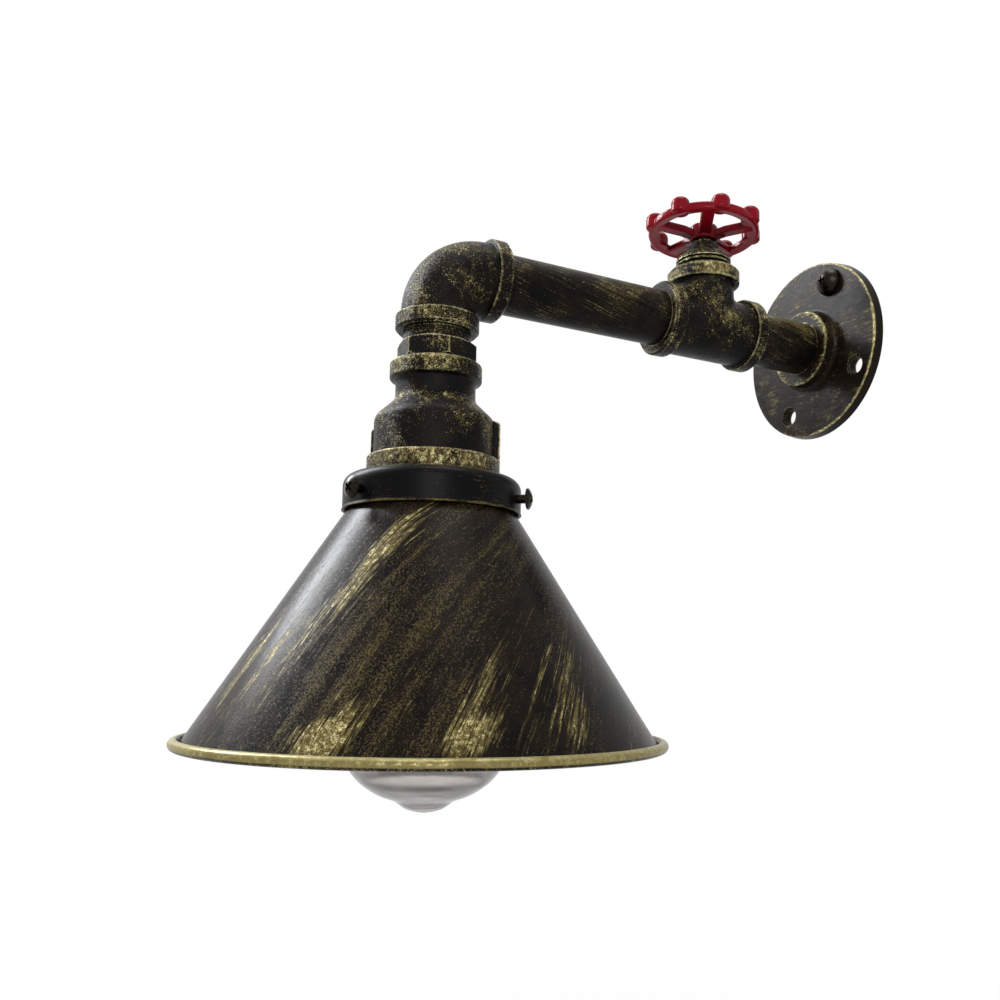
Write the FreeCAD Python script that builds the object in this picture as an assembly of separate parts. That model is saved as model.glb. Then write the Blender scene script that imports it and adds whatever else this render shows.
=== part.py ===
import FreeCAD, Part
import math
import os

os.makedirs("parts", exist_ok=True)

# Pipe wall light, in millimetres with +Z up. The origin is the centre of the wall
# flange's back, the wall is the plane Y = 0 and the arm runs along -Y. Heights of the
# valve are measured up from the arm's axis, and heights of the head down from it.

# Fits
SEAT_GAP = 0.05  # all round a screwed or pushed joint that stays put
RUNNING_GAP = 0.06  # all round a shaft that turns or slides in its hole
MOVING_GAP = 0.3  # between pieces that pass each other

# Pipe and cast fittings
PIPE_R = 13.35
PIPE_WALL = 2.0
THREAD_DEPTH = 13.0
FITTING_REACH = 28.5  # from a fitting's centre to its mouth
FITTING_WALL = 4.3
FITTING_BAND_R = 18.0
FITTING_BAND_LENGTH = 7.0
FITTING_BAND_ROUND = 0.7
FITTING_BAND_CHAMFER = 1.2
FITTING_BORE_R = 11.5
TEE_BLEND = 3.5  # fillet between the run and the branch
TEE_BRANCH_SLIMMER = 0.6  # branch's body radius under the run's
ELBOW_BEND_R = 20.0
NIPPLE_SHOWN = 35.0  # pipe seen between flange and tee
ARM_SHOWN = 85.4  # pipe seen between tee and elbow

# Wall flange and its screw
FLANGE_R = 46.9
FLANGE_DRAFT = 0.6
FLANGE_THICKNESS = 5.4
FLANGE_EDGE_ROUND = 0.8
HUB_R = 19.7
HUB_REACH = 12.4  # from the wall to the hub's front
HUB_ROOT_ROUND = 2.3
CABLE_ENTRY_R = 11.3
CABLE_ENTRY_DEPTH = 2.0
HOLE_CIRCLE_R = 36.4
HOLE_R = 4.3
HOLE_CHAMFER = 0.9
HOLE_ANGLES = (-26.0, 64.0, 154.0, 244.0)
SCREWED_HOLE = 1  # the hole that holds the fixing screw
FIXING_SHANK_R = 3.0
FIXING_HEAD_R = 7.1
FIXING_HEAD_RIM = 1.0
FIXING_HEAD_HEIGHT = 6.6
FIXING_RECESS_SPAN = 4.4
FIXING_RECESS_WIDTH = 1.1
FIXING_RECESS_DEPTH = 2.0

# Bonnet on the tee's branch
BONNET_SKIRT_WALL = 3.2
BONNET_FLOOR = 6.0
SHOULDER_R = 12.3
SHOULDER_HEIGHT = 2.5
RING_R = 13.8
RING_THICKNESS = 1.5
RING_ROUND = 0.5
BONNET_NECK_R = 11.2
BONNET_NECK_HEIGHT = 2.4  # from the shoulder to the flare
FLARE_R = 13.7
FLARE_LIP = 1.2
FLARE_STEPS = ((12.7, 1.5), (9.5, 2.2), (7.4, 1.0))  # radius and height above the last
NUT_ACROSS_FLATS = 13.0
NUT_HEIGHT = 4.4
NUT_CHAMFER = 0.7

# Rotary switch in the tee
SWITCH_R = 9.0
SWITCH_WALL = 1.2
SWITCH_BASE = 2.0
SWITCH_HEIGHT = 14.0  # of the cup, without its cover
SWITCH_COVER = 2.0
BUSH_R = 4.9
BUSH_FLANGE_R = 6.5
BUSH_FLANGE = 1.5
STEM_R = 3.0
STEM_TOP = 59.5
STEM_TIP_ROUND = 0.7
ROTOR_R = 6.0
ROTOR_HEIGHT = 5.0
ROTOR_LIFT = 1.0  # rotor above the contacts' tops
CONTACT_POST_R = 1.2
CONTACT_SPREAD = 5.0
CONTACT_STAND = 0.4  # contact tops above the cup's base
WIPER_WIDTH = 3.0
WIPER_THICKNESS = 0.6

# Handwheel: cast, and a little out of true on its stem
WHEEL_LOBES = 8
WHEEL_SPOKES = 5
LOBE_PHASE = -18.0
SPOKE_PHASE = -31.0
WHEEL_CANT = 3.8
WHEEL_CANT_ANGLE = 140.0  # the side that the wheel leans to
WHEEL_BASE = 44.6  # underside of the wheel's hub
WHEEL_HUB_R = 7.2
WHEEL_HUB_HEIGHT = 8.0
WHEEL_HUB_ROUND = 1.5
RIM_BOTTOM = 47.6
RIM_HEIGHT = 4.6
RIM_SLOPE = 0.9  # how far the rim's top and underside close in towards its inside
RIM_INNER_R = 22.2
RIM_OUTER_R = 27.8
RIM_ROUND = 1.3
RIM_INNER_ROUND = 1.0
LOBE_R = 4.6
LOBE_CIRCLE_R = 25.4
LOBE_BOTTOM = 48.2
LOBE_HEIGHT = 8.0
LOBE_FOOT_ROUND = 1.2
LOBE_TOP_ROUND = 3.2
SPOKE_WIDTH = 6.6
SPOKE_DEPTH = 3.6
SPOKE_ROOT_R = 5.0
SPOKE_RISE = 1.0  # of the spoke's root above the hub's underside
SPOKE_KNEE_R = 11.2
SPOKE_KNEE_RISE = 1.5  # from the root to the knee
SPOKE_ROUND = 1.2
GRUB_R = 1.5
GRUB_LENGTH = 3.8
GRUB_ANGLE = 155.0
GRUB_LIFT = 2.2  # axis above the hub's underside

# Hex nipple and reducing socket
COLLAR_R = 14.6
COLLAR_HEIGHT = 4.7
HEX_ACROSS_FLATS = 30.0
HEX_HEIGHT = 8.9
HEX_CHAMFER = 1.1
HEX_CORNER_ANGLE = -4.0
HEX_BORE_R = 10.0
HEX_TO_SOCKET = 0.5
SOCKET_TOP_BAND_R = 19.7
SOCKET_TOP_BAND = 7.0
SOCKET_NECK_R = 17.1
SOCKET_NECK = 9.2  # from the top band to the flare
SOCKET_NECK_ROUND = 5.0
SOCKET_FLARE = 8.0
SOCKET_BODY_R = 25.6
SOCKET_BODY = 16.9
SOCKET_BAND_R = 28.15
SOCKET_BAND = 8.3
SOCKET_BAND_ROUND = 1.0
SOCKET_FLARE_ROUND = 5.5
SOCKET_BORE_R = 21.2
SOCKET_PLUG_STEP_R = 17.0
RIBS = ((64.0, 28.1, 0.4), (244.0, 26.5, 5.0))  # angle, radius, top below the flare
RIB_WIDTH = 4.5
RIB_ROOT = 4.0  # how far a rib reaches into the body
RIB_SLOPE = 1.5
RIB_ROUND = 1.8

# Support plug, threaded tube and what they hold
PLUG_THICKNESS = 4.7
TUBE_R = 5.0
TUBE_BORE_R = 3.7
TUBE_ABOVE_PLUG = 8.5
TUBE_BELOW_PLUG = 4.5
LOCKNUT_ACROSS_FLATS = 14.0
LOCKNUT_HEIGHT = 4.0
TAG_R = 7.4
TAG_THICKNESS = 0.8
TAG_TONGUE_LENGTH = 5.0
TAG_TONGUE_WIDTH = 4.0

# Gallery and its three screws
GALLERY_R = 37.5
GALLERY_WALL = 1.2
GALLERY_HOLE_R = 20.0
GALLERY_SHOULDER = 5.0
GALLERY_HEIGHT = 15.0
GALLERY_LIP = 0.3
GALLERY_SCREW_DROP = 9.3  # from the gallery's top to the screws' axis
GALLERY_SCREW_ANGLES = (49.0, -71.0, 169.0)
SCREW_SHANK_R = 1.9
SCREW_SHOWN = 4.0  # shank between gallery and head
SCREW_HEAD_R = 4.5
SCREW_HEAD = 2.1
SCREW_HEAD_RIM = 0.5
RECESS_SPAN = 4.6
RECESS_WIDTH = 1.2
RECESS_DEPTH = 1.5
RECESS_TURN = 45.0

# Shade
SHADE_SHEET = 0.8
SHADE_NECK_INSET = 4.7  # of the neck from the gallery's outside
SHADE_LIP_INSET = 3.1  # of the lip from the gallery's outside
SHADE_NECK_DROP = 12.0  # from the gallery's top to the end of the neck
SHADE_CONE_TOP_INSET = 3.0  # of the cone's top from the gallery's outside
SHADE_CONE_START = 1.4
SHADE_CONE_R = 96.6
SHADE_CONE_HEIGHT = 97.5
BEAD_R = 2.2
BEAD_OUT = 1.4  # of the bead's circle from the cone's end
BEAD_RISE = 0.9  # of the bead's circle above the cone's end

# Lamp holder
HOLDER_R = 19.5
HOLDER_WALL = 2.5
HOLDER_SHELL_WALL = 5.2
HOLDER_CAP_TOP_R = 7.5
HOLDER_CAP_HEIGHT = 10.5
HOLDER_CAP_WALL = 1.4
HOLDER_CAP_SLOPE = 3.5  # from the cap's top down to its side
HOLDER_CAP_ROUND = 6.0
HOLDER_BODY_HEIGHT = 32.0
INSERT_DROP = 1.5  # insert's top below the body's top
INSERT_THICKNESS = 4.0
SHELL_SHEET = 0.4
SHELL_R = 13.9
SHELL_FLANGE_R = 16.4
SHELL_FLANGE_HOLE_R = 10.2
SHELL_HEIGHT = 25.0
LIVE_SCREW_R = 7.0
NEUTRAL_SCREW_R = 12.4
TERMINAL_HEAD_R = 2.2
TERMINAL_HEAD = 1.5
TERMINAL_SHANK_R = 1.3
CONTACT_STRIP_WIDTH = 5.0
CONTACT_STRIP = 0.6
CONTACT_TONGUE = 0.6
CONTACT_TONGUE_R = 2.4
SHADE_RING_R = 25.5
SHADE_RING_HEIGHT = 4.8
SHADE_RING_ROUND = 0.8

# Bulb
BULB_CAP_R = 13.1
BULB_CAP_SHEET = 0.4
BULB_CAP_HEIGHT = 21.0
BULB_CAP_TAPER = 1.6
BULB_INSULATOR_HEIGHT = 2.5
BULB_CONTACT_R = 4.8
BULB_CONTACT_HEIGHT = 1.5
BULB_CONTACT_RISE = 0.5  # of the contact above its insulator
BULB_CONTACT_ROUND = 0.7
BULB_GLASS = 0.8
BULB_NECK_R = 12.4
BULB_NECK_IN_CAP = 12.0
# Outside of the glass: radius, and depth below the cap's edge
BULB_OUTLINE = (
    (13.3, 1.6),
    (14.5, 6.0),
    (17.4, 17.0),
    (21.6, 34.0),
    (26.6, 56.0),
    (30.4, 76.0),
    (32.0, 92.0),
    (30.9, 100.8),
    (29.0, 103.5),
    (26.4, 106.1),
    (23.0, 108.6),
    (18.2, 111.2),
    (11.9, 113.7),
    (8.6, 116.0),
    (2.7, 117.9),
)
BULB_TIP = 118.3
BULB_STEM_FLARE_R = 11.5
BULB_STEM_R = 5.0
BULB_STEM_BORE_R = 3.6
BULB_STEM_LENGTH = 38.0
BULB_ROD_R = 1.6
BULB_ROD_LENGTH = 52.0
BULB_ROD_ROUND = 0.8
BULB_FLARE_LENGTH = 10.0
FILAMENT_LEGS = 10
FILAMENT_R = 10.0
FILAMENT_WIRE_R = 0.3
FILAMENT_DROP = 6.0  # from the stem's end to the filament's top
FILAMENT_HEIGHT = 36.0
FILAMENT_BEND = 0.9
SUPPORT_RING_WALL = 0.6
SUPPORT_WIRE_R = 0.3
LEAD_WIRE_R = 0.35
LEAD_SPREAD = 1.5
LEAD_BEND = 1.2
LEAD_JOINT = 3.6  # below the cap's top, where the neutral lead meets the cap
LEAD_TURN = 4.8  # below the cap's top, where the leads turn down

# Wires
WIRE_R = 1.0
WIRE_OFFSET = 1.9
LIVE_ANGLE = 90.0
NEUTRAL_ANGLE = 210.0
EARTH_ANGLE = 330.0
WIRE_END_GAP = 0.4  # where the arm's wires meet the head's
WIRE_BEND = 2.2
WIRE_START = 0.6  # behind the wall flange's back

# Positions that follow from the sizes
PIPE_BORE_R = PIPE_R - PIPE_WALL
SOCKET_R = PIPE_R + SEAT_GAP
FITTING_BODY_R = FITTING_BORE_R + FITTING_WALL
TEE_BRANCH_R = FITTING_BODY_R - TEE_BRANCH_SLIMMER
VALVE_Y = -(HUB_REACH + NIPPLE_SHOWN + FITTING_REACH)
HEAD_Y = VALVE_Y - FITTING_REACH - ARM_SHOWN - FITTING_REACH

BRANCH_TOP = FITTING_REACH
SHOULDER_TOP = BRANCH_TOP + SHOULDER_HEIGHT
FLARE_BASE = SHOULDER_TOP + BONNET_NECK_HEIGHT
BONNET_TOP = FLARE_BASE + FLARE_LIP + sum(height for radius, height in FLARE_STEPS)
SWITCH_TOP = BRANCH_TOP - BONNET_FLOOR
CUP_TOP = SWITCH_TOP - SWITCH_COVER
CUP_BOTTOM = CUP_TOP - SWITCH_HEIGHT
CONTACT_TOP = CUP_BOTTOM + SWITCH_BASE + CONTACT_STAND
ROTOR_BOTTOM = CONTACT_TOP + ROTOR_LIFT
NUT_TOP = BONNET_TOP + NUT_HEIGHT
WHEEL_HUB_TOP = WHEEL_BASE + WHEEL_HUB_HEIGHT

COLLAR_TOP = -FITTING_REACH
HEX_TOP = COLLAR_TOP - COLLAR_HEIGHT
HEX_BOTTOM = HEX_TOP - HEX_HEIGHT
SOCKET_TOP = HEX_BOTTOM - HEX_TO_SOCKET
NIPPLE_BOTTOM = SOCKET_TOP - THREAD_DEPTH + SEAT_GAP
TOP_BAND_END = SOCKET_TOP - SOCKET_TOP_BAND
FLARE_TOP = TOP_BAND_END - SOCKET_NECK
FLARE_END = FLARE_TOP - SOCKET_FLARE
BODY_END = FLARE_END - SOCKET_BODY
SOCKET_BOTTOM = BODY_END - SOCKET_BAND

PLUG_TOP = FLARE_END
PLUG_BOTTOM = PLUG_TOP - PLUG_THICKNESS
TUBE_TOP = PLUG_TOP + TUBE_ABOVE_PLUG
TUBE_BOTTOM = PLUG_BOTTOM - TUBE_BELOW_PLUG
LOCKNUT_TOP = PLUG_TOP + LOCKNUT_HEIGHT
TAG_TOP = LOCKNUT_TOP + TAG_THICKNESS

GALLERY_TOP = SOCKET_BOTTOM
GALLERY_BOTTOM = GALLERY_TOP - GALLERY_HEIGHT
SCREW_Z = GALLERY_TOP - GALLERY_SCREW_DROP
SHADE_NECK_R = GALLERY_R - SHADE_NECK_INSET
SHADE_LIP_R = GALLERY_R - SHADE_LIP_INSET
SHADE_CONE_TOP_R = GALLERY_R - SHADE_CONE_TOP_INSET
SCREW_TIP_R = SHADE_NECK_R + RUNNING_GAP
SCREW_HEAD_BASE_R = GALLERY_R + SCREW_SHOWN
NECK_END = GALLERY_TOP - SHADE_NECK_DROP
CONE_TOP = NECK_END - SHADE_CONE_START
CONE_BOTTOM = CONE_TOP - SHADE_CONE_HEIGHT

HOLDER_CAP_TOP = PLUG_BOTTOM
HOLDER_TOP = HOLDER_CAP_TOP - HOLDER_CAP_HEIGHT
HOLDER_BOTTOM = HOLDER_TOP - HOLDER_BODY_HEIGHT
INSERT_TOP = HOLDER_TOP - INSERT_DROP
INSERT_BOTTOM = INSERT_TOP - INSERT_THICKNESS
SHELL_SEAT = INSERT_BOTTOM - SHELL_SHEET
STRIP_BOTTOM = INSERT_BOTTOM - CONTACT_STRIP
TONGUE_BOTTOM = STRIP_BOTTOM - CONTACT_TONGUE
TERMINAL_TOP = INSERT_TOP + TERMINAL_HEAD

BULB_TOP = TONGUE_BOTTOM - MOVING_GAP
BULB_CAP_TOP = BULB_TOP - BULB_INSULATOR_HEIGHT - BULB_CONTACT_RISE
BULB_CAP_BOTTOM = BULB_CAP_TOP - BULB_CAP_HEIGHT
BULB_INSULATOR_TOP = BULB_CAP_TOP + BULB_INSULATOR_HEIGHT
GLASS_TOP = BULB_CAP_BOTTOM + BULB_NECK_IN_CAP
BULB_STEM_END = GLASS_TOP - BULB_STEM_LENGTH
FILAMENT_TOP = BULB_STEM_END - FILAMENT_DROP
FILAMENT_BOTTOM = FILAMENT_TOP - FILAMENT_HEIGHT

X_AXIS = FreeCAD.Vector(1, 0, 0)
Y_AXIS = FreeCAD.Vector(0, 1, 0)
Z_AXIS = FreeCAD.Vector(0, 0, 1)
FULL_TURN = 360.0
QUARTER_TURN = 90.0
HEX_SIDES = 6


def vec(x, y, z):
    return FreeCAD.Vector(x, y, z)


def polar(radius, degrees):
    angle = math.radians(degrees)
    return radius * math.cos(angle), radius * math.sin(angle)


def rounded_wire(corners, closed):
    """Lines through (point, radius) corners, with each corner rounded to its radius."""
    stops = []
    last = len(corners) - 1
    for i, (point, radius) in enumerate(corners):
        if radius == 0 or (not closed and i in (0, last)):
            stops.append((point, None, point))
            continue
        before = (corners[i - 1][0] - point).normalize()
        after = (corners[(i + 1) % len(corners)][0] - point).normalize()
        half = before.getAngle(after) / 2
        trim = radius / math.tan(half)
        middle = (before + after).normalize() * (radius / math.sin(half) - radius)
        stops.append((point + before * trim, point + middle, point + after * trim))
    edges = []
    for i, (start, middle, end) in enumerate(stops):
        if middle is not None:
            edges.append(Part.Arc(start, middle, end).toShape())
        if i == last and not closed:
            break
        following = stops[(i + 1) % len(stops)][0]
        if end.distanceToPoint(following) > Part.Precision.confusion():
            edges.append(Part.LineSegment(end, following).toShape())
    return Part.Wire(edges)


def turned(profile, y=0.0):
    """A solid turned about the vertical axis at y: (radius, height[, corner radius])."""
    corners = [(vec(p[0], y, p[1]), p[2] if len(p) > 2 else 0) for p in profile]
    face = Part.Face(rounded_wire(corners, True))
    return face.revolve(vec(0, y, 0), Z_AXIS, FULL_TURN)


def turned_on_arm(profile):
    """A solid turned about the arm's axis: (radius, distance from the wall[, radius])."""
    shape = turned([(p[0], p[1]) + tuple(p[2:]) for p in profile])
    shape.rotate(vec(0, 0, 0), X_AXIS, QUARTER_TURN)
    return shape


def rod(radius, bottom, top, x=0.0, y=0.0):
    return Part.makeCylinder(radius, top - bottom, vec(x, y, bottom), Z_AXIS)


def hexagon(across_flats, bottom, top, y, corner_angle=0.0):
    corner_r = across_flats / 2 / math.cos(math.pi / HEX_SIDES)
    corners = []
    for i in range(HEX_SIDES):
        x, dy = polar(corner_r, corner_angle + FULL_TURN * i / HEX_SIDES)
        corners.append(vec(x, y + dy, bottom))
    face = Part.Face(Part.makePolygon(corners + corners[:1]))
    return face.extrude(vec(0, 0, top - bottom))


def chamfered_hexagon(across_flats, bottom, top, y, chamfer, corner_angle=0.0):
    corner_r = across_flats / 2 / math.cos(math.pi / HEX_SIDES) + SEAT_GAP
    flat_r = across_flats / 2
    envelope = turned(
        [
            (0, bottom),
            (flat_r, bottom),
            (corner_r, bottom + chamfer),
            (corner_r, top - chamfer),
            (flat_r, top),
            (0, top),
        ],
        y,
    )
    return hexagon(across_flats, bottom, top, y, corner_angle).common(envelope)


def domed_head(radius, bottom, rim, height):
    """A screw head on +Z: a short rim, and a dome that starts at the rim's edge."""
    rise = height - rim
    ball_r = (radius**2 + rise**2) / (2 * rise)
    ball = Part.makeSphere(ball_r, vec(0, 0, bottom + height - ball_r))
    return rod(radius, bottom, bottom + height).common(ball)


def cross_recess(span, width, depth, top):
    """The cross cut into the top of a screw's head."""
    bars = [
        Part.makeBox(length, across, depth, vec(-length / 2, -across / 2, top - depth))
        for length, across in ((span, width), (width, span))
    ]
    return bars[0].fuse(bars[1])


def swept(points, bend, radius):
    """A round wire of the given radius through the points, bent at each of them."""
    path = rounded_wire([(point, bend) for point in points], False)
    tangent = (points[1] - points[0]).normalize()
    section = Part.Wire(Part.makeCircle(radius, points[0], tangent))
    return path.makePipeShell([section], True, False)


def placed_along(shape, origin, direction):
    """Puts a shape made on +Z at an origin, turned to point along a direction."""
    shape.Placement = FreeCAD.Placement(origin, FreeCAD.Rotation(Z_AXIS, direction))
    return shape


def turned_round(shape, degrees, y):
    shape.rotate(vec(0, y, 0), Z_AXIS, degrees)
    return shape


def write(node, shape):
    solid = shape.removeSplitter()
    if len(solid.Solids) != 1 or not solid.isValid():
        raise ValueError(node + " is not one valid solid")
    solid.Solids[0].exportStep("parts/" + node + ".step")


# Fittings: each arm is turned on +Z and then laid along its pipe


def fitting_arm(start, body_r):
    return turned(
        [
            (0, start),
            (body_r, start),
            (body_r, FITTING_REACH - FITTING_BAND_LENGTH, FITTING_BAND_ROUND),
            (FITTING_BAND_R, FITTING_REACH - FITTING_BAND_LENGTH, FITTING_BAND_ROUND),
            (FITTING_BAND_R, FITTING_REACH - FITTING_BAND_CHAMFER),
            (FITTING_BAND_R - FITTING_BAND_CHAMFER, FITTING_REACH),
            (0, FITTING_REACH),
        ]
    )


def tee_bore():
    return turned(
        [
            (0, 0),
            (FITTING_BORE_R, 0),
            (FITTING_BORE_R, FITTING_REACH - THREAD_DEPTH),
            (SOCKET_R, FITTING_REACH - THREAD_DEPTH),
            (SOCKET_R, FITTING_REACH),
            (0, FITTING_REACH),
        ]
    )


def make_tee():
    centre = vec(0, VALVE_Y, 0)
    arms = [
        placed_along(fitting_arm(0, body_r), centre, direction)
        for direction, body_r in (
            (Y_AXIS, FITTING_BODY_R),
            (-Y_AXIS, FITTING_BODY_R),
            (Z_AXIS, TEE_BRANCH_R),
        )
    ]
    outside = arms[0].fuse(arms[1]).removeSplitter().fuse(arms[2])
    crossing = [
        edge for edge in outside.Edges if not isinstance(edge.Curve, (Part.Line, Part.Circle))
    ]
    outside = outside.makeFillet(TEE_BLEND, crossing)
    for direction in (Y_AXIS, -Y_AXIS, Z_AXIS):
        outside = outside.cut(placed_along(tee_bore(), centre, direction))
    return outside


def make_elbow():
    centre = vec(0, HEAD_Y, 0)
    bend_start = vec(0, HEAD_Y + ELBOW_BEND_R, 0)
    bend_centre = vec(0, HEAD_Y + ELBOW_BEND_R, -ELBOW_BEND_R)

    def quarter(radius):
        disc = Part.Face(Part.Wire(Part.makeCircle(radius, bend_start, Y_AXIS)))
        return disc.revolve(bend_centre, X_AXIS, QUARTER_TURN)

    outside = quarter(FITTING_BODY_R)
    for direction in (Y_AXIS, -Z_AXIS):
        arm = fitting_arm(ELBOW_BEND_R, FITTING_BODY_R)
        outside = outside.fuse(placed_along(arm, centre, direction))
    bore = quarter(FITTING_BORE_R)
    for direction, mouth_r in ((Y_AXIS, PIPE_R + RUNNING_GAP), (-Z_AXIS, SOCKET_R)):
        socket = rod(mouth_r, FITTING_REACH - THREAD_DEPTH, FITTING_REACH)
        bore = bore.fuse(placed_along(socket, centre, direction))
    return outside.cut(bore)


# Wall flange


def make_wall_flange():
    flange = turned_on_arm(
        [
            (CABLE_ENTRY_R, 0),
            (FLANGE_R, 0),
            (FLANGE_R - FLANGE_DRAFT, FLANGE_THICKNESS, FLANGE_EDGE_ROUND),
            (HUB_R, FLANGE_THICKNESS, HUB_ROOT_ROUND),
            (HUB_R, HUB_REACH, FLANGE_EDGE_ROUND),
            (SOCKET_R, HUB_REACH),
            (SOCKET_R, CABLE_ENTRY_DEPTH),
            (CABLE_ENTRY_R, CABLE_ENTRY_DEPTH),
        ]
    )
    for angle in HOLE_ANGLES:
        x, z = polar(HOLE_CIRCLE_R, angle)
        hole = turned_on_arm(
            [
                (0, 0),
                (HOLE_R, 0),
                (HOLE_R, FLANGE_THICKNESS - HOLE_CHAMFER),
                (HOLE_R + HOLE_CHAMFER, FLANGE_THICKNESS),
                (0, FLANGE_THICKNESS),
            ]
        )
        hole.translate(vec(x, 0, z))
        flange = flange.cut(hole)
    return flange


def make_fixing_screw():
    screw = rod(FIXING_SHANK_R, 0, FLANGE_THICKNESS).fuse(
        domed_head(FIXING_HEAD_R, FLANGE_THICKNESS, FIXING_HEAD_RIM, FIXING_HEAD_HEIGHT)
    )
    head_top = FLANGE_THICKNESS + FIXING_HEAD_HEIGHT
    screw = screw.cut(
        cross_recess(FIXING_RECESS_SPAN, FIXING_RECESS_WIDTH, FIXING_RECESS_DEPTH, head_top)
    )
    screw.rotate(vec(0, 0, 0), X_AXIS, QUARTER_TURN)
    x, z = polar(HOLE_CIRCLE_R, HOLE_ANGLES[SCREWED_HOLE])
    screw.translate(vec(x, 0, z))
    return screw


def make_pipe(start, length):
    """A length of pipe that begins at a distance from the wall."""
    return turned_on_arm(
        [
            (PIPE_BORE_R, start),
            (PIPE_R, start),
            (PIPE_R, start + length),
            (PIPE_BORE_R, start + length),
        ]
    )


# Valve trim on the tee's branch


def make_valve_bonnet():
    skirt_bottom = BRANCH_TOP - THREAD_DEPTH + SEAT_GAP
    bore_r = BUSH_R + SEAT_GAP
    profile = [
        (bore_r, SWITCH_TOP),
        (PIPE_R - BONNET_SKIRT_WALL, SWITCH_TOP),
        (PIPE_R - BONNET_SKIRT_WALL, skirt_bottom),
        (PIPE_R, skirt_bottom),
        (PIPE_R, BRANCH_TOP),
        (SHOULDER_R, BRANCH_TOP),
        (SHOULDER_R, SHOULDER_TOP),
        (BONNET_NECK_R, SHOULDER_TOP),
        (BONNET_NECK_R, FLARE_BASE),
        (FLARE_R, FLARE_BASE),
        (FLARE_R, FLARE_BASE + FLARE_LIP),
    ]
    height = FLARE_BASE + FLARE_LIP
    for radius, step in FLARE_STEPS:
        height += step
        profile.append((radius, height))
    profile.append((bore_r, height))
    return turned(profile, VALVE_Y)


def make_bonnet_ring():
    hole_r = BONNET_NECK_R + SEAT_GAP
    top = SHOULDER_TOP + RING_THICKNESS
    return turned(
        [
            (hole_r, SHOULDER_TOP),
            (RING_R, SHOULDER_TOP, RING_ROUND),
            (RING_R, top, RING_ROUND),
            (hole_r, top),
        ],
        VALVE_Y,
    )


def make_packing_nut():
    nut = chamfered_hexagon(
        NUT_ACROSS_FLATS, BONNET_TOP, NUT_TOP, VALVE_Y, NUT_CHAMFER, HEX_CORNER_ANGLE
    )
    return nut.cut(rod(BUSH_R + SEAT_GAP, BONNET_TOP, NUT_TOP, 0, VALVE_Y))


# Rotary switch


def make_switch_body():
    inner_r = SWITCH_R - SWITCH_WALL
    floor = CUP_BOTTOM + SWITCH_BASE
    body = turned(
        [
            (0, CUP_BOTTOM),
            (SWITCH_R, CUP_BOTTOM),
            (SWITCH_R, CUP_TOP),
            (inner_r, CUP_TOP),
            (inner_r, floor),
            (0, floor),
        ],
        VALVE_Y,
    )
    for y in terminal_positions():
        body = body.cut(rod(CONTACT_POST_R + SEAT_GAP, CUP_BOTTOM, floor, 0, y))
    return body


def terminal_positions():
    return VALVE_Y + CONTACT_SPREAD, VALVE_Y - CONTACT_SPREAD


def make_switch_terminal(y):
    wire_top = wire_height(LIVE_ANGLE) + WIRE_R + SEAT_GAP
    return rod(CONTACT_POST_R, wire_top, CONTACT_TOP, 0, y)


def make_switch_cover():
    cover = rod(SWITCH_R, CUP_TOP, SWITCH_TOP, 0, VALVE_Y)
    return cover.cut(rod(BUSH_R + SEAT_GAP, CUP_TOP, SWITCH_TOP, 0, VALVE_Y))


def make_switch_bush():
    bore_r = STEM_R + RUNNING_GAP
    return turned(
        [
            (bore_r, CUP_TOP - BUSH_FLANGE),
            (BUSH_FLANGE_R, CUP_TOP - BUSH_FLANGE),
            (BUSH_FLANGE_R, CUP_TOP),
            (BUSH_R, CUP_TOP),
            (BUSH_R, NUT_TOP),
            (bore_r, NUT_TOP),
        ],
        VALVE_Y,
    )


def make_switch_rotor():
    rotor = rod(ROTOR_R, ROTOR_BOTTOM, ROTOR_BOTTOM + ROTOR_HEIGHT, 0, VALVE_Y)
    return rotor.cut(
        rod(STEM_R + SEAT_GAP, ROTOR_BOTTOM, ROTOR_BOTTOM + ROTOR_HEIGHT, 0, VALVE_Y)
    )


def make_switch_wiper():
    return Part.makeBox(
        WIPER_WIDTH,
        2 * ROTOR_R,
        WIPER_THICKNESS,
        vec(-WIPER_WIDTH / 2, VALVE_Y - ROTOR_R, ROTOR_BOTTOM - WIPER_THICKNESS),
    ).common(rod(ROTOR_R, ROTOR_BOTTOM - WIPER_THICKNESS, ROTOR_BOTTOM, 0, VALVE_Y))


def make_valve_stem():
    return turned(
        [
            (0, ROTOR_BOTTOM),
            (STEM_R, ROTOR_BOTTOM),
            (STEM_R, STEM_TOP, STEM_TIP_ROUND),
            (0, STEM_TOP),
        ],
        VALVE_Y,
    )


# Handwheel


def rounded_disc(inner_r, outer_r, bottom, top, foot_round, top_round, y):
    hole_foot, hole_top = (foot_round, top_round) if inner_r else (0, 0)
    return turned(
        [
            (inner_r, bottom, hole_foot),
            (outer_r, bottom, foot_round),
            (outer_r, top, top_round),
            (inner_r, top, hole_top),
        ],
        y,
    )


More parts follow.
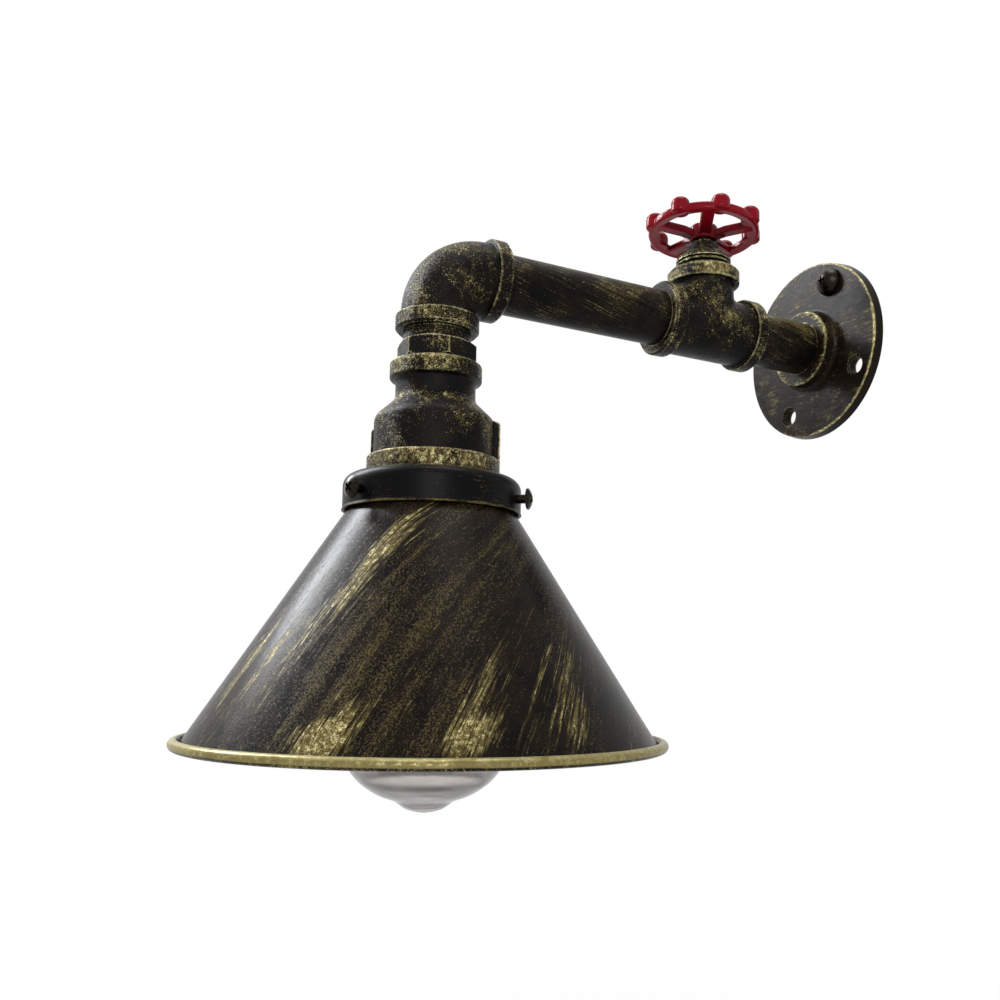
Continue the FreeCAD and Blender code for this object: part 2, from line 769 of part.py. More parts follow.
def make_spoke():
    rim_r = (RIM_INNER_R + RIM_OUTER_R) / 2
    root_z = WHEEL_BASE + SPOKE_RISE
    rim_z = RIM_BOTTOM + (RIM_HEIGHT - SPOKE_DEPTH) / 2
    low = [
        vec(SPOKE_ROOT_R, VALVE_Y, root_z),
        vec(SPOKE_KNEE_R, VALVE_Y, root_z + SPOKE_KNEE_RISE),
        vec(rim_r, VALVE_Y, rim_z),
    ]
    high = [point + vec(0, 0, SPOKE_DEPTH) for point in reversed(low)]
    side = Part.Face(Part.makePolygon(low + high + low[:1]))
    bar = side.extrude(vec(0, SPOKE_WIDTH, 0))
    bar.translate(vec(0, -SPOKE_WIDTH / 2, 0))
    long_edges = [
        edge
        for edge in bar.Edges
        if abs(edge.Vertexes[0].X - edge.Vertexes[1].X) > SPOKE_ROUND
    ]
    return bar.makeFillet(SPOKE_ROUND, long_edges)


def make_handwheel():
    wheel = rounded_disc(
        0, WHEEL_HUB_R, WHEEL_BASE, WHEEL_HUB_TOP, WHEEL_HUB_ROUND, WHEEL_HUB_ROUND, VALVE_Y
    )
    rim_top = RIM_BOTTOM + RIM_HEIGHT
    rim = turned(
        [
            (RIM_INNER_R, RIM_BOTTOM + RIM_SLOPE, RIM_INNER_ROUND),
            (RIM_OUTER_R, RIM_BOTTOM, RIM_ROUND),
            (RIM_OUTER_R, rim_top, RIM_ROUND),
            (RIM_INNER_R, rim_top - RIM_SLOPE, RIM_INNER_ROUND),
        ],
        VALVE_Y,
    )
    wheel = wheel.fuse(rim)
    lobe_top = LOBE_BOTTOM + LOBE_HEIGHT
    for i in range(WHEEL_LOBES):
        lobe = rounded_disc(0, LOBE_R, LOBE_BOTTOM, lobe_top, LOBE_FOOT_ROUND, LOBE_TOP_ROUND, 0)
        x, dy = polar(LOBE_CIRCLE_R, LOBE_PHASE + i * FULL_TURN / WHEEL_LOBES)
        lobe.translate(vec(x, VALVE_Y + dy, 0))
        wheel = wheel.fuse(lobe)
    for i in range(WHEEL_SPOKES):
        angle = SPOKE_PHASE + i * FULL_TURN / WHEEL_SPOKES
        wheel = wheel.fuse(turned_round(make_spoke(), angle, VALVE_Y))
    lean_x, lean_y = polar(1, WHEEL_CANT_ANGLE)
    pivot = vec(0, VALVE_Y, WHEEL_BASE + WHEEL_HUB_HEIGHT / 2)
    wheel.rotate(pivot, vec(-lean_y, lean_x, 0), WHEEL_CANT)
    bore_bottom = WHEEL_BASE - WHEEL_HUB_R
    bore_top = WHEEL_HUB_TOP + WHEEL_HUB_R
    wheel = wheel.cut(rod(STEM_R + SEAT_GAP, bore_bottom, bore_top, 0, VALVE_Y))
    return wheel.cut(grub_rod(GRUB_R + SEAT_GAP, WHEEL_HUB_R + GRUB_LENGTH))


def grub_rod(radius, end_r):
    """A rod in the wheel's hub, from the stem outwards to a radius."""
    x, dy = polar(1, GRUB_ANGLE)
    start_r = STEM_R + SEAT_GAP
    start = vec(start_r * x, VALVE_Y + start_r * dy, WHEEL_BASE + GRUB_LIFT)
    return Part.makeCylinder(radius, end_r - start_r, start, vec(x, dy, 0))


# Hex nipple and reducing socket


def make_hex_nipple():
    top = COLLAR_TOP + THREAD_DEPTH - SEAT_GAP
    nipple = turned(
        [
            (0, NIPPLE_BOTTOM),
            (PIPE_R, NIPPLE_BOTTOM),
            (PIPE_R, HEX_BOTTOM),
            (COLLAR_R, HEX_BOTTOM),
            (COLLAR_R, COLLAR_TOP),
            (PIPE_R, COLLAR_TOP),
            (PIPE_R, top),
            (0, top),
        ],
        HEAD_Y,
    )
    nipple = nipple.fuse(
        chamfered_hexagon(
            HEX_ACROSS_FLATS, HEX_BOTTOM, HEX_TOP, HEAD_Y, HEX_CHAMFER, HEX_CORNER_ANGLE
        )
    )
    return nipple.cut(rod(HEX_BORE_R, NIPPLE_BOTTOM, top, 0, HEAD_Y))


def make_reducing_socket():
    bore_r = FITTING_BORE_R
    thread_end = SOCKET_TOP - THREAD_DEPTH
    socket = turned(
        [
            (SOCKET_R, SOCKET_TOP),
            (SOCKET_TOP_BAND_R, SOCKET_TOP, SOCKET_BAND_ROUND),
            (SOCKET_TOP_BAND_R, TOP_BAND_END, SOCKET_BAND_ROUND),
            (SOCKET_NECK_R, TOP_BAND_END - SOCKET_BAND_ROUND, SOCKET_BAND_ROUND),
            (SOCKET_NECK_R, FLARE_TOP, SOCKET_NECK_ROUND),
            (SOCKET_BODY_R, FLARE_END, SOCKET_FLARE_ROUND),
            (SOCKET_BODY_R, BODY_END),
            (SOCKET_BAND_R, BODY_END, SOCKET_BAND_ROUND),
            (SOCKET_BAND_R, SOCKET_BOTTOM, SOCKET_BAND_ROUND),
            (SOCKET_BORE_R, SOCKET_BOTTOM),
            (SOCKET_BORE_R, PLUG_TOP),
            (SOCKET_PLUG_STEP_R, PLUG_TOP),
            (bore_r, FLARE_TOP),
            (bore_r, thread_end),
            (SOCKET_R, thread_end),
        ],
        HEAD_Y,
    )
    for angle, radius, drop in RIBS:
        socket = socket.fuse(turned_round(make_rib(radius, drop), angle, HEAD_Y))
    return socket


def make_rib(radius, drop):
    root_r = SOCKET_BODY_R - RIB_ROOT
    top = FLARE_END - drop
    corners = [
        (vec(root_r, HEAD_Y, top + RIB_SLOPE), 0),
        (vec(radius, HEAD_Y, top), RIB_ROUND),
        (vec(radius, HEAD_Y, BODY_END), 0),
        (vec(root_r, HEAD_Y, BODY_END), 0),
    ]
    rib = Part.Face(rounded_wire(corners, True)).extrude(vec(0, RIB_WIDTH, 0))
    rib.translate(vec(0, -RIB_WIDTH / 2, 0))
    return rib


# Inside the reducing socket


def make_support_plug():
    return turned(
        [
            (TUBE_R + SEAT_GAP, PLUG_BOTTOM),
            (SOCKET_BORE_R - SEAT_GAP, PLUG_BOTTOM),
            (SOCKET_BORE_R - SEAT_GAP, PLUG_TOP),
            (TUBE_R + SEAT_GAP, PLUG_TOP),
        ],
        HEAD_Y,
    )


def make_threaded_tube():
    tube = rod(TUBE_R, TUBE_BOTTOM, TUBE_TOP, 0, HEAD_Y)
    return tube.cut(rod(TUBE_BORE_R, TUBE_BOTTOM, TUBE_TOP, 0, HEAD_Y))


def make_tube_locknut():
    nut = chamfered_hexagon(
        LOCKNUT_ACROSS_FLATS, PLUG_TOP, LOCKNUT_TOP, HEAD_Y, NUT_CHAMFER
    )
    return nut.cut(rod(TUBE_R + SEAT_GAP, PLUG_TOP, LOCKNUT_TOP, 0, HEAD_Y))


def make_earth_tag():
    ring = rod(TAG_R, LOCKNUT_TOP, TAG_TOP, 0, HEAD_Y)
    tongue = Part.makeBox(
        TAG_R + TAG_TONGUE_LENGTH,
        TAG_TONGUE_WIDTH,
        TAG_THICKNESS,
        vec(0, HEAD_Y - TAG_TONGUE_WIDTH / 2, LOCKNUT_TOP),
    )
    tag = ring.fuse(tongue)
    return tag.cut(rod(TUBE_R + SEAT_GAP, LOCKNUT_TOP, TAG_TOP, 0, HEAD_Y))


# Gallery, its screws and the shade


def make_gallery():
    inner_r = GALLERY_R - GALLERY_WALL
    inner_shoulder = GALLERY_SHOULDER - GALLERY_WALL
    lip_r = GALLERY_R + GALLERY_LIP
    gallery = turned(
        [
            (GALLERY_HOLE_R, GALLERY_TOP),
            (GALLERY_R, GALLERY_TOP, GALLERY_SHOULDER),
            (GALLERY_R, GALLERY_BOTTOM + GALLERY_WALL),
            (lip_r, GALLERY_BOTTOM),
            (inner_r + GALLERY_LIP, GALLERY_BOTTOM),
            (inner_r, GALLERY_BOTTOM + GALLERY_WALL),
            (inner_r, GALLERY_TOP - GALLERY_WALL, inner_shoulder),
            (GALLERY_HOLE_R, GALLERY_TOP - GALLERY_WALL),
        ],
        HEAD_Y,
    )
    for angle in GALLERY_SCREW_ANGLES:
        hole = Part.makeCylinder(
            SCREW_SHANK_R + RUNNING_GAP, GALLERY_R + GALLERY_LIP, vec(0, HEAD_Y, SCREW_Z), X_AXIS
        )
        gallery = gallery.cut(turned_round(hole, angle, HEAD_Y))
    return gallery


def make_gallery_screw(angle):
    screw = rod(SCREW_SHANK_R, SCREW_TIP_R, SCREW_HEAD_BASE_R).fuse(
        domed_head(SCREW_HEAD_R, SCREW_HEAD_BASE_R, SCREW_HEAD_RIM, SCREW_HEAD)
    )
    recess = cross_recess(
        RECESS_SPAN, RECESS_WIDTH, RECESS_DEPTH, SCREW_HEAD_BASE_R + SCREW_HEAD
    )
    screw = screw.cut(turned_round(recess, RECESS_TURN, 0))
    placed_along(screw, vec(0, HEAD_Y, SCREW_Z), X_AXIS)
    return turned_round(screw, angle, HEAD_Y)


def make_shade():
    arc_r = GALLERY_SHOULDER - GALLERY_WALL
    arc_centre_r = GALLERY_R - GALLERY_SHOULDER
    reach = SHADE_LIP_R - arc_centre_r
    lip_top = GALLERY_TOP - GALLERY_SHOULDER + math.sqrt(arc_r**2 - reach**2) - SEAT_GAP
    slope = math.atan2(SHADE_CONE_R - SHADE_CONE_TOP_R, SHADE_CONE_HEIGHT)
    inset = SHADE_SHEET / math.cos(slope)
    neck_inner_r = SHADE_NECK_R - SHADE_SHEET
    sheet = turned(
        [
            (neck_inner_r, lip_top),
            (SHADE_LIP_R, lip_top),
            (SHADE_LIP_R, lip_top - SHADE_SHEET),
            (SHADE_NECK_R, lip_top - SHADE_SHEET),
            (SHADE_NECK_R, NECK_END),
            (SHADE_CONE_TOP_R, CONE_TOP),
            (SHADE_CONE_R, CONE_BOTTOM),
            (SHADE_CONE_R - inset, CONE_BOTTOM),
            (SHADE_CONE_TOP_R - inset, CONE_TOP),
            (neck_inner_r, NECK_END),
        ],
        HEAD_Y,
    )
    bead_z = CONE_BOTTOM + BEAD_RISE
    bead = Part.makeTorus(SHADE_CONE_R + BEAD_OUT, BEAD_R, vec(0, HEAD_Y, bead_z), Z_AXIS)
    return sheet.fuse(bead)


# Lamp holder


def make_holder_cap():
    wall = HOLDER_CAP_WALL
    hole_r = TUBE_R + SEAT_GAP
    corner = HOLDER_CAP_TOP - HOLDER_CAP_SLOPE
    cap = turned(
        [
            (hole_r, HOLDER_CAP_TOP),
            (HOLDER_CAP_TOP_R, HOLDER_CAP_TOP),
            (HOLDER_R, corner, HOLDER_CAP_ROUND),
            (HOLDER_R, HOLDER_TOP),
            (HOLDER_R - wall, HOLDER_TOP),
            (HOLDER_R - wall, corner - wall, HOLDER_CAP_ROUND - wall),
            (HOLDER_CAP_TOP_R, HOLDER_CAP_TOP - wall),
            (hole_r, HOLDER_CAP_TOP - wall),
        ],
        HEAD_Y,
    )
    return cap


def make_holder_body():
    chamber_r = HOLDER_R - HOLDER_WALL
    throat_r = HOLDER_R - HOLDER_SHELL_WALL
    return turned(
        [
            (chamber_r, HOLDER_TOP),
            (HOLDER_R, HOLDER_TOP),
            (HOLDER_R, HOLDER_BOTTOM, SHADE_RING_ROUND),
            (throat_r, HOLDER_BOTTOM, SHADE_RING_ROUND),
            (throat_r, SHELL_SEAT),
            (chamber_r, SHELL_SEAT),
        ],
        HEAD_Y,
    )


def holder_screw_positions():
    return (0.0, HEAD_Y - LIVE_SCREW_R), (-NEUTRAL_SCREW_R, HEAD_Y)


def make_holder_insert():
    insert_r = HOLDER_R - HOLDER_WALL - SEAT_GAP
    insert = rod(insert_r, INSERT_BOTTOM, INSERT_TOP, 0, HEAD_Y)
    for x, y in holder_screw_positions():
        insert = insert.cut(rod(TERMINAL_SHANK_R + SEAT_GAP, INSERT_BOTTOM, INSERT_TOP, x, y))
    return insert


def make_holder_shell():
    shell = turned(
        [
            (SHELL_FLANGE_HOLE_R, INSERT_BOTTOM),
            (SHELL_FLANGE_R, INSERT_BOTTOM),
            (SHELL_FLANGE_R, SHELL_SEAT),
            (SHELL_R, SHELL_SEAT),
            (SHELL_R, INSERT_BOTTOM - SHELL_HEIGHT),
            (SHELL_R - SHELL_SHEET, INSERT_BOTTOM - SHELL_HEIGHT),
            (SHELL_R - SHELL_SHEET, SHELL_SEAT),
            (SHELL_FLANGE_HOLE_R, SHELL_SEAT),
        ],
        HEAD_Y,
    )
    return shell


def make_holder_contact():
    strip = Part.makeBox(
        CONTACT_STRIP_WIDTH,
        LIVE_SCREW_R + CONTACT_TONGUE_R,
        CONTACT_STRIP,
        vec(-CONTACT_STRIP_WIDTH / 2, HEAD_Y - LIVE_SCREW_R, STRIP_BOTTOM),
    )
    end = rod(CONTACT_STRIP_WIDTH / 2, STRIP_BOTTOM, INSERT_BOTTOM, 0, HEAD_Y - LIVE_SCREW_R)
    tongue = rod(CONTACT_TONGUE_R, TONGUE_BOTTOM, STRIP_BOTTOM, 0, HEAD_Y)
    return strip.fuse(end).fuse(tongue)


def make_terminal_screw(x, y):
    head = rod(TERMINAL_HEAD_R, INSERT_TOP, TERMINAL_TOP, x, y)
    return head.fuse(rod(TERMINAL_SHANK_R, INSERT_BOTTOM, INSERT_TOP, x, y))


def make_shade_ring():
    hole_r = HOLDER_R + SEAT_GAP
    top = GALLERY_TOP - GALLERY_WALL
    return turned(
        [
            (hole_r, top),
            (SHADE_RING_R, top),
            (SHADE_RING_R, top - SHADE_RING_HEIGHT, SHADE_RING_ROUND),
            (hole_r, top - SHADE_RING_HEIGHT),
        ],
        HEAD_Y,
    )


# Bulb


def glass_points(inset):
    """The glass outline moved inwards along its own normals."""
    points = [(BULB_OUTLINE[0][0], BULB_OUTLINE[0][1])] + list(BULB_OUTLINE[1:])
    points.append((0.0, BULB_TIP))
    moved = []
    for i, (radius, depth) in enumerate(points):
        before = points[max(i - 1, 0)]
        after = points[min(i + 1, len(points) - 1)]
        run_r = after[0] - before[0]
        run_z = after[1] - before[1]
        if i == len(points) - 1:
            run_r, run_z = -1.0, 0.0
        length = math.hypot(run_r, run_z)
        new_r = radius - inset * run_z / length
        new_z = depth + inset * run_r / length
        moved.append(vec(max(new_r, 0.0), HEAD_Y, BULB_CAP_BOTTOM - new_z))
    return moved


def glass_curve(inset):
    curve = Part.BSplineCurve()
    curve.interpolate(Points=glass_points(inset), FinalTangent=-X_AXIS, InitialTangent=-Z_AXIS)
    return curve.toShape()


def make_bulb_glass():
    outer = glass_points(0)
    inner = glass_points(BULB_GLASS)
    neck_inner_r = BULB_NECK_R - BULB_GLASS
    corners = [
        inner[0],
        vec(neck_inner_r, HEAD_Y, BULB_CAP_BOTTOM + BULB_GLASS),
        vec(neck_inner_r, HEAD_Y, GLASS_TOP),
        vec(BULB_NECK_R, HEAD_Y, GLASS_TOP),
        vec(BULB_NECK_R, HEAD_Y, BULB_CAP_BOTTOM + BULB_GLASS),
        outer[0],
    ]
    edges = [glass_curve(0), Part.LineSegment(outer[-1], inner[-1]).toShape()]
    edges.append(glass_curve(BULB_GLASS))
    for start, end in zip(corners[:-1], corners[1:]):
        edges.append(Part.LineSegment(start, end).toShape())
    face = Part.Face(Part.Wire(Part.sortEdges(edges)[0]))
    return face.revolve(vec(0, HEAD_Y, 0), Z_AXIS, FULL_TURN)


def make_bulb_cap():
    inner_r = BULB_CAP_R - BULB_CAP_SHEET
    top_r = BULB_CAP_R - BULB_CAP_TAPER
    return turned(
        [
            (top_r - BULB_CAP_SHEET, BULB_CAP_TOP),
            (top_r, BULB_CAP_TOP),
            (BULB_CAP_R, BULB_CAP_TOP - BULB_CAP_TAPER),
            (BULB_CAP_R, BULB_CAP_BOTTOM),
            (inner_r, BULB_CAP_BOTTOM),
            (inner_r, BULB_CAP_TOP - BULB_CAP_TAPER),
        ],
        HEAD_Y,
    )


def make_bulb_insulator():
    base_r = BULB_CAP_R - BULB_CAP_TAPER
    insulator = turned(
        [
            (0, BULB_CAP_TOP),
            (base_r, BULB_CAP_TOP),
            (BULB_CONTACT_R, BULB_INSULATOR_TOP),
            (0, BULB_INSULATOR_TOP),
        ],
        HEAD_Y,
    )
    recess = rod(BULB_CONTACT_R - 2 * SEAT_GAP, contact_bottom(), BULB_INSULATOR_TOP, 0, HEAD_Y)
    return insulator.cut(recess).cut(lead_wire(0, SEAT_GAP))


def contact_bottom():
    return BULB_TOP - BULB_CONTACT_HEIGHT


def make_bulb_contact():
    contact_r = BULB_CONTACT_R - 3 * SEAT_GAP
    return turned(
        [
            (0, contact_bottom()),
            (contact_r, contact_bottom()),
            (contact_r, BULB_TOP, BULB_CONTACT_ROUND),
            (0, BULB_TOP),
        ],
        HEAD_Y,
    )


def make_bulb_stem():
    rod_bottom = BULB_STEM_END - BULB_ROD_LENGTH
    stem_top = GLASS_TOP - BULB_GLASS
    flare_end = stem_top - BULB_FLARE_LENGTH
    stem = turned(
        [
            (BULB_STEM_FLARE_R - BULB_GLASS, stem_top),
            (BULB_STEM_FLARE_R, stem_top),
            (BULB_STEM_R, flare_end),
            (BULB_STEM_R, BULB_STEM_END),
            (BULB_ROD_R, BULB_STEM_END - BULB_STEM_R),
            (BULB_ROD_R, rod_bottom, BULB_ROD_ROUND),
            (0, rod_bottom),
            (0, BULB_STEM_END),
            (BULB_STEM_BORE_R, BULB_STEM_END + BULB_STEM_R),
            (BULB_STEM_BORE_R, flare_end),
        ],
        HEAD_Y,
    )
    for i in (0, 1):
        stem = stem.cut(lead_wire(i, SEAT_GAP))
    return stem


def filament_angles():
    step = FULL_TURN / FILAMENT_LEGS
    return [step / 2 + i * step for i in range(FILAMENT_LEGS)]


def head_point(radius, degrees, height):
    x, dy = polar(radius, degrees)
    return vec(x, HEAD_Y + dy, height)


def lead_wire(i, extra):
    """Lead-in wire from the cap or its contact to one end of the filament."""
    angles = filament_angles()
    side = (-QUARTER_TURN, QUARTER_TURN)[i]
    joint_r = BULB_CAP_R - BULB_CAP_SHEET - LEAD_WIRE_R
    first = (
        head_point(0, 0, contact_bottom()),
        head_point(joint_r, side, BULB_CAP_TOP - LEAD_JOINT),
    )[i]
    points = [
        first,
        head_point(LEAD_SPREAD, side, BULB_CAP_TOP - LEAD_TURN),
        head_point(LEAD_SPREAD, side, BULB_STEM_END + BULB_STEM_R - LEAD_BEND),
        head_point(FILAMENT_R, (angles[-1], angles[0])[i], FILAMENT_TOP + FILAMENT_BEND),
    ]
    return swept(points, LEAD_BEND, LEAD_WIRE_R + extra)


def make_filament():
    points = []
    for i, angle in enumerate(filament_angles()):
        ends = [head_point(FILAMENT_R, angle, z) for z in (FILAMENT_TOP, FILAMENT_BOTTOM)]
        points.extend(ends if i % 2 == 0 else reversed(ends))
    return swept(points, FILAMENT_BEND, FILAMENT_WIRE_R)


def make_filament_support(height, first_gap):
    """A ring on the glass rod with a wire to every other turn of the filament."""
    step = FULL_TURN / FILAMENT_LEGS
    hole_r = BULB_ROD_R + SEAT_GAP
    ring_r = hole_r + SUPPORT_RING_WALL
    reach = FILAMENT_R * math.cos(math.radians(step / 2)) - FILAMENT_WIRE_R - SEAT_GAP
    bottom = height - SUPPORT_WIRE_R
    top = height + SUPPORT_WIRE_R
    ring = rod(ring_r, bottom, top, 0, HEAD_Y)
    for i in range(first_gap, FILAMENT_LEGS, 2):
        spoke = Part.makeCylinder(SUPPORT_WIRE_R, reach, vec(0, HEAD_Y, height), X_AXIS)
        ring = ring.fuse(turned_round(spoke, i * step, HEAD_Y))
    return ring.cut(rod(hole_r, bottom, top, 0, HEAD_Y))


# Wires


def wire_offset(angle):
    return polar(WIRE_OFFSET, angle)


def wire_height(angle):
    return wire_offset(angle)[1]


def arm_wire(angle, start, end):
    """A straight wire in the arm, between two distances from the wall."""
    x, z = wire_offset(angle)
    return Part.makeCylinder(WIRE_R, end - start, vec(x, -start, z), -Y_AXIS)


def head_wire(angle, route):
    """A wire from the arm's end round the elbow, then through the route's points."""
    x, z = wire_offset(angle)
    start = vec(x, WIRE_SPLIT_Y - WIRE_END_GAP / 2, z)
    corner = vec(x, HEAD_Y - z, z)
    bend_r = ELBOW_BEND_R + z
    corners = [(start, 0), (corner, bend_r)]
    corners += [(point, WIRE_BEND) for point in route[:-1]] + [(route[-1], 0)]
    path = rounded_wire(corners, False)
    section = Part.Wire(Part.makeCircle(WIRE_R, start, Y_AXIS))
    return path.makePipeShell([section], True, False)


def terminal_wire(angle, screw_x, screw_y):
    x, z = wire_offset(angle)
    level = TUBE_BOTTOM - WIRE_R - SEAT_GAP
    end = TERMINAL_TOP + SEAT_GAP
    return head_wire(
        angle,
        [vec(x, HEAD_Y - z, level), vec(screw_x, screw_y, level), vec(screw_x, screw_y, end)],
    )


def earth_wire():
    x, z = wire_offset(EARTH_ANGLE)
    tag_x = TAG_R + TAG_TONGUE_LENGTH / 2
    level = NIPPLE_BOTTOM - MOVING_GAP - WIRE_R
    end = TAG_TOP + SEAT_GAP
    return head_wire(
        EARTH_ANGLE,
        [vec(x, HEAD_Y - z, level), vec(tag_x, HEAD_Y, level), vec(tag_x, HEAD_Y, end)],
    )


WIRE_SPLIT_Y = HEAD_Y + ELBOW_BEND_R + WIRE_BEND
SPLIT_REACH = -WIRE_SPLIT_Y - WIRE_END_GAP / 2
nipple_start = CABLE_ENTRY_DEPTH + SEAT_GAP
nipple_end = HUB_REACH + NIPPLE_SHOWN + THREAD_DEPTH - SEAT_GAP
arm_start = -VALVE_Y + FITTING_REACH - THREAD_DEPTH + SEAT_GAP
arm_end = arm_start + 2 * (THREAD_DEPTH - SEAT_GAP) + ARM_SHOWN
live_reach = -VALVE_Y - CONTACT_SPREAD + CONTACT_POST_R
live_restart = -VALVE_Y + CONTACT_SPREAD - CONTACT_POST_R
live_screw, neutral_screw = holder_screw_positions()
terminal_in_y, terminal_out_y = terminal_positions()

write("wall_flange", make_wall_flange())
write("fixing_screw", make_fixing_screw())
write("flange_nipple", make_pipe(nipple_start, nipple_end - nipple_start))
write("tee", make_tee())
write("valve_bonnet", make_valve_bonnet())
write("bonnet_ring", make_bonnet_ring())
write("packing_nut", make_packing_nut())
write("switch_body", make_switch_body())
write("switch_cover", make_switch_cover())
write("switch_bush", make_switch_bush())
write("switch_terminal_in", make_switch_terminal(terminal_in_y))
write("switch_terminal_out", make_switch_terminal(terminal_out_y))
write("switch_rotor", make_switch_rotor())
write("switch_wiper", make_switch_wiper())
write("valve_stem", make_valve_stem())
write("handwheel", make_handwheel())
write("wheel_grub_screw", grub_rod(GRUB_R, STEM_R + SEAT_GAP + GRUB_LENGTH))
write("arm_pipe", make_pipe(arm_start, arm_end - arm_start))
write("wire_live_in", arm_wire(LIVE_ANGLE, WIRE_START, live_reach))
write("wire_live_out", arm_wire(LIVE_ANGLE, live_restart, SPLIT_REACH))
write("wire_neutral", arm_wire(NEUTRAL_ANGLE, WIRE_START, SPLIT_REACH))
write("wire_earth", arm_wire(EARTH_ANGLE, WIRE_START, SPLIT_REACH))

write("elbow", make_elbow())
write("hex_nipple", make_hex_nipple())
write("reducing_socket", make_reducing_socket())
write("support_plug", make_support_plug())
write("threaded_tube", make_threaded_tube())
write("tube_locknut", make_tube_locknut())
write("earth_tag", make_earth_tag())
write("gallery", make_gallery())
for number, screw_angle in enumerate(GALLERY_SCREW_ANGLES, 1):
    write("gallery_screw_" + str(number), make_gallery_screw(screw_angle))
write("shade", make_shade())
write("holder_cap", make_holder_cap())
write("holder_body", make_holder_body())
write("holder_insert", make_holder_insert())
write("holder_shell", make_holder_shell())
write("holder_contact", make_holder_contact())
write("live_screw", make_terminal_screw(*live_screw))
write("neutral_screw", make_terminal_screw(*neutral_screw))
write("shade_ring", make_shade_ring())
write("head_wire_live", terminal_wire(LIVE_ANGLE, *live_screw))
write("head_wire_neutral", terminal_wire(NEUTRAL_ANGLE, *neutral_screw))
write("head_wire_earth", earth_wire())

write("bulb_glass", make_bulb_glass())
write("bulb_cap", make_bulb_cap())
write("bulb_insulator", make_bulb_insulator())
write("bulb_contact", make_bulb_contact())
write("bulb_stem", make_bulb_stem())
write("bulb_lead_live", lead_wire(0, 0))
write("bulb_lead_neutral", lead_wire(1, 0))
write("bulb_filament", make_filament())
write("bulb_support_top", make_filament_support(FILAMENT_TOP, 2))
write("bulb_support_bottom", make_filament_support(FILAMENT_BOTTOM, 1))
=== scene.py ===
import math

import bpy
from mathutils import Matrix, Vector

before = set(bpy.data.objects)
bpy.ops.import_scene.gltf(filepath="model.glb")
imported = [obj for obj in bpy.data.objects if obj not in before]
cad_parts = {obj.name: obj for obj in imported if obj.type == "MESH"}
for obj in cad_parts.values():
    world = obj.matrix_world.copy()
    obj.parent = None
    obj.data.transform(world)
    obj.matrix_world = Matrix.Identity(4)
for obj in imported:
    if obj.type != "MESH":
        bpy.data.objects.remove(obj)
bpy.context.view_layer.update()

MM_PER_M = 1000
NOISE_MIDDLE = 0.5

# Places in the part's frame, in metres
VALVE_Y = -0.0759
HEAD_Y = -0.2183

# The photograph's camera: place in metres, turns in radians, lens and sensor in mm
CAMERA_PLACE = (0.391996, -0.371608, -0.169408)
CAMERA_AZIMUTH = 1.06825
CAMERA_PITCH = 0.09713
CAMERA_ROLL = 0.01543
CAMERA_LENS = 35.77
CAMERA_SENSOR = 36
CAMERA_SHIFT = (-0.0598, 0.0672)

# Lamps: name, place, aim, width and height, watts, colour
LAMPS = (
    ("softbox", (-0.96, -0.86, 0.88), (0, HEAD_Y, -0.1), (0.30, 0.85), 34, (0.93, 0.96, 1.0)),
    ("fill", (1.5, -0.8, 0.35), (0, -0.18, -0.1), (0.8, 0.8), 14, (1, 1, 1)),
    ("top", (0.15, -0.05, 1.35), (0, -0.12, 0), (0.6, 0.6), 9, (1, 1, 1)),
)

# Room: the sky that lights the object, and the floor in metres. The floor's share of
# plain white grows over FLOOR_WHITENS, the distance from the place below the shade.
SKY_COLOUR = (0.95, 0.97, 1, 1)
SKY_STRENGTH = 0.16
FLOOR_Z = -0.62
FLOOR_HALF = 6.0
FLOOR_COLOUR = (0.85, 0.85, 0.85, 1)
FLOOR_WHITENS = (0.5, 1.3)
FLOOR_WHITE = (0.86, 1.0)

# Colours of paint, enamel and glass, linear
BLACK_PAINT = (0.0032, 0.0030, 0.0031, 1)
BROWN_PAINT = (0.0105, 0.0070, 0.0046, 1)
THIN_GOLD = (0.062, 0.046, 0.020, 1)
GOLD = (0.250, 0.200, 0.062, 1)
PALE_GOLD = (0.84, 0.76, 0.42, 1)
EVEN_GOLD = (0.26, 0.215, 0.080, 1)
RED = (0.235, 0.0022, 0.010, 1)
# A painted shade of the red, for the wheel's corners
SHADED_RED = (0.012, 0.0005, 0.0012, 1)
# Greys of the glass, painted reflections of the dark shade and room, and its painted dark
# outline
REFLECTION_GREY_SMEARED = (0.58, 0.55, 0.53, 1)
REFLECTION_GREY_CLEAN = (0.74, 0.71, 0.69, 1)
REFLECTION_DARK_EDGE = (0.03, 0.033, 0.024, 1)

# Painted surfaces. Sides that face UPPER_FRONT, in the piece's own directions, have
# more gold. Reaches are in metres, and gold is gone where a crevice is this closed:
# the dry brush misses crevices, and the darker crevice is also painted shade.
PAINT_SPECULAR = 0.055
GOLD_METALLIC = 0.22
GOLD_RELIEF = 0.35
GOLD_ROUGHER = 0.02
UPPER_FRONT = (0.62, -0.45, 0.64)
UPPER_FRONT_GOLD = 0.12
OCCLUSION_SAMPLES = 6
EDGE_REACH = 0.0010
CREVICE_SHADE_REACH = 0.006
CREVICE_SHADE_CLOSED = (0.35, 0.9)

# Red enamel, with painted shade in the wheel's corners, and clear glass
ENAMEL_SHADE_REACH = 0.016
ENAMEL_SPECULAR = 0.06
ENAMEL_COAT = 0.09
ENAMEL_COAT_ROUGHNESS = 0.08
GLASS_IOR = 1.46
GLASS_SPECULAR = 0.2
REFLECTION_EDGE_BLEND = 0.35

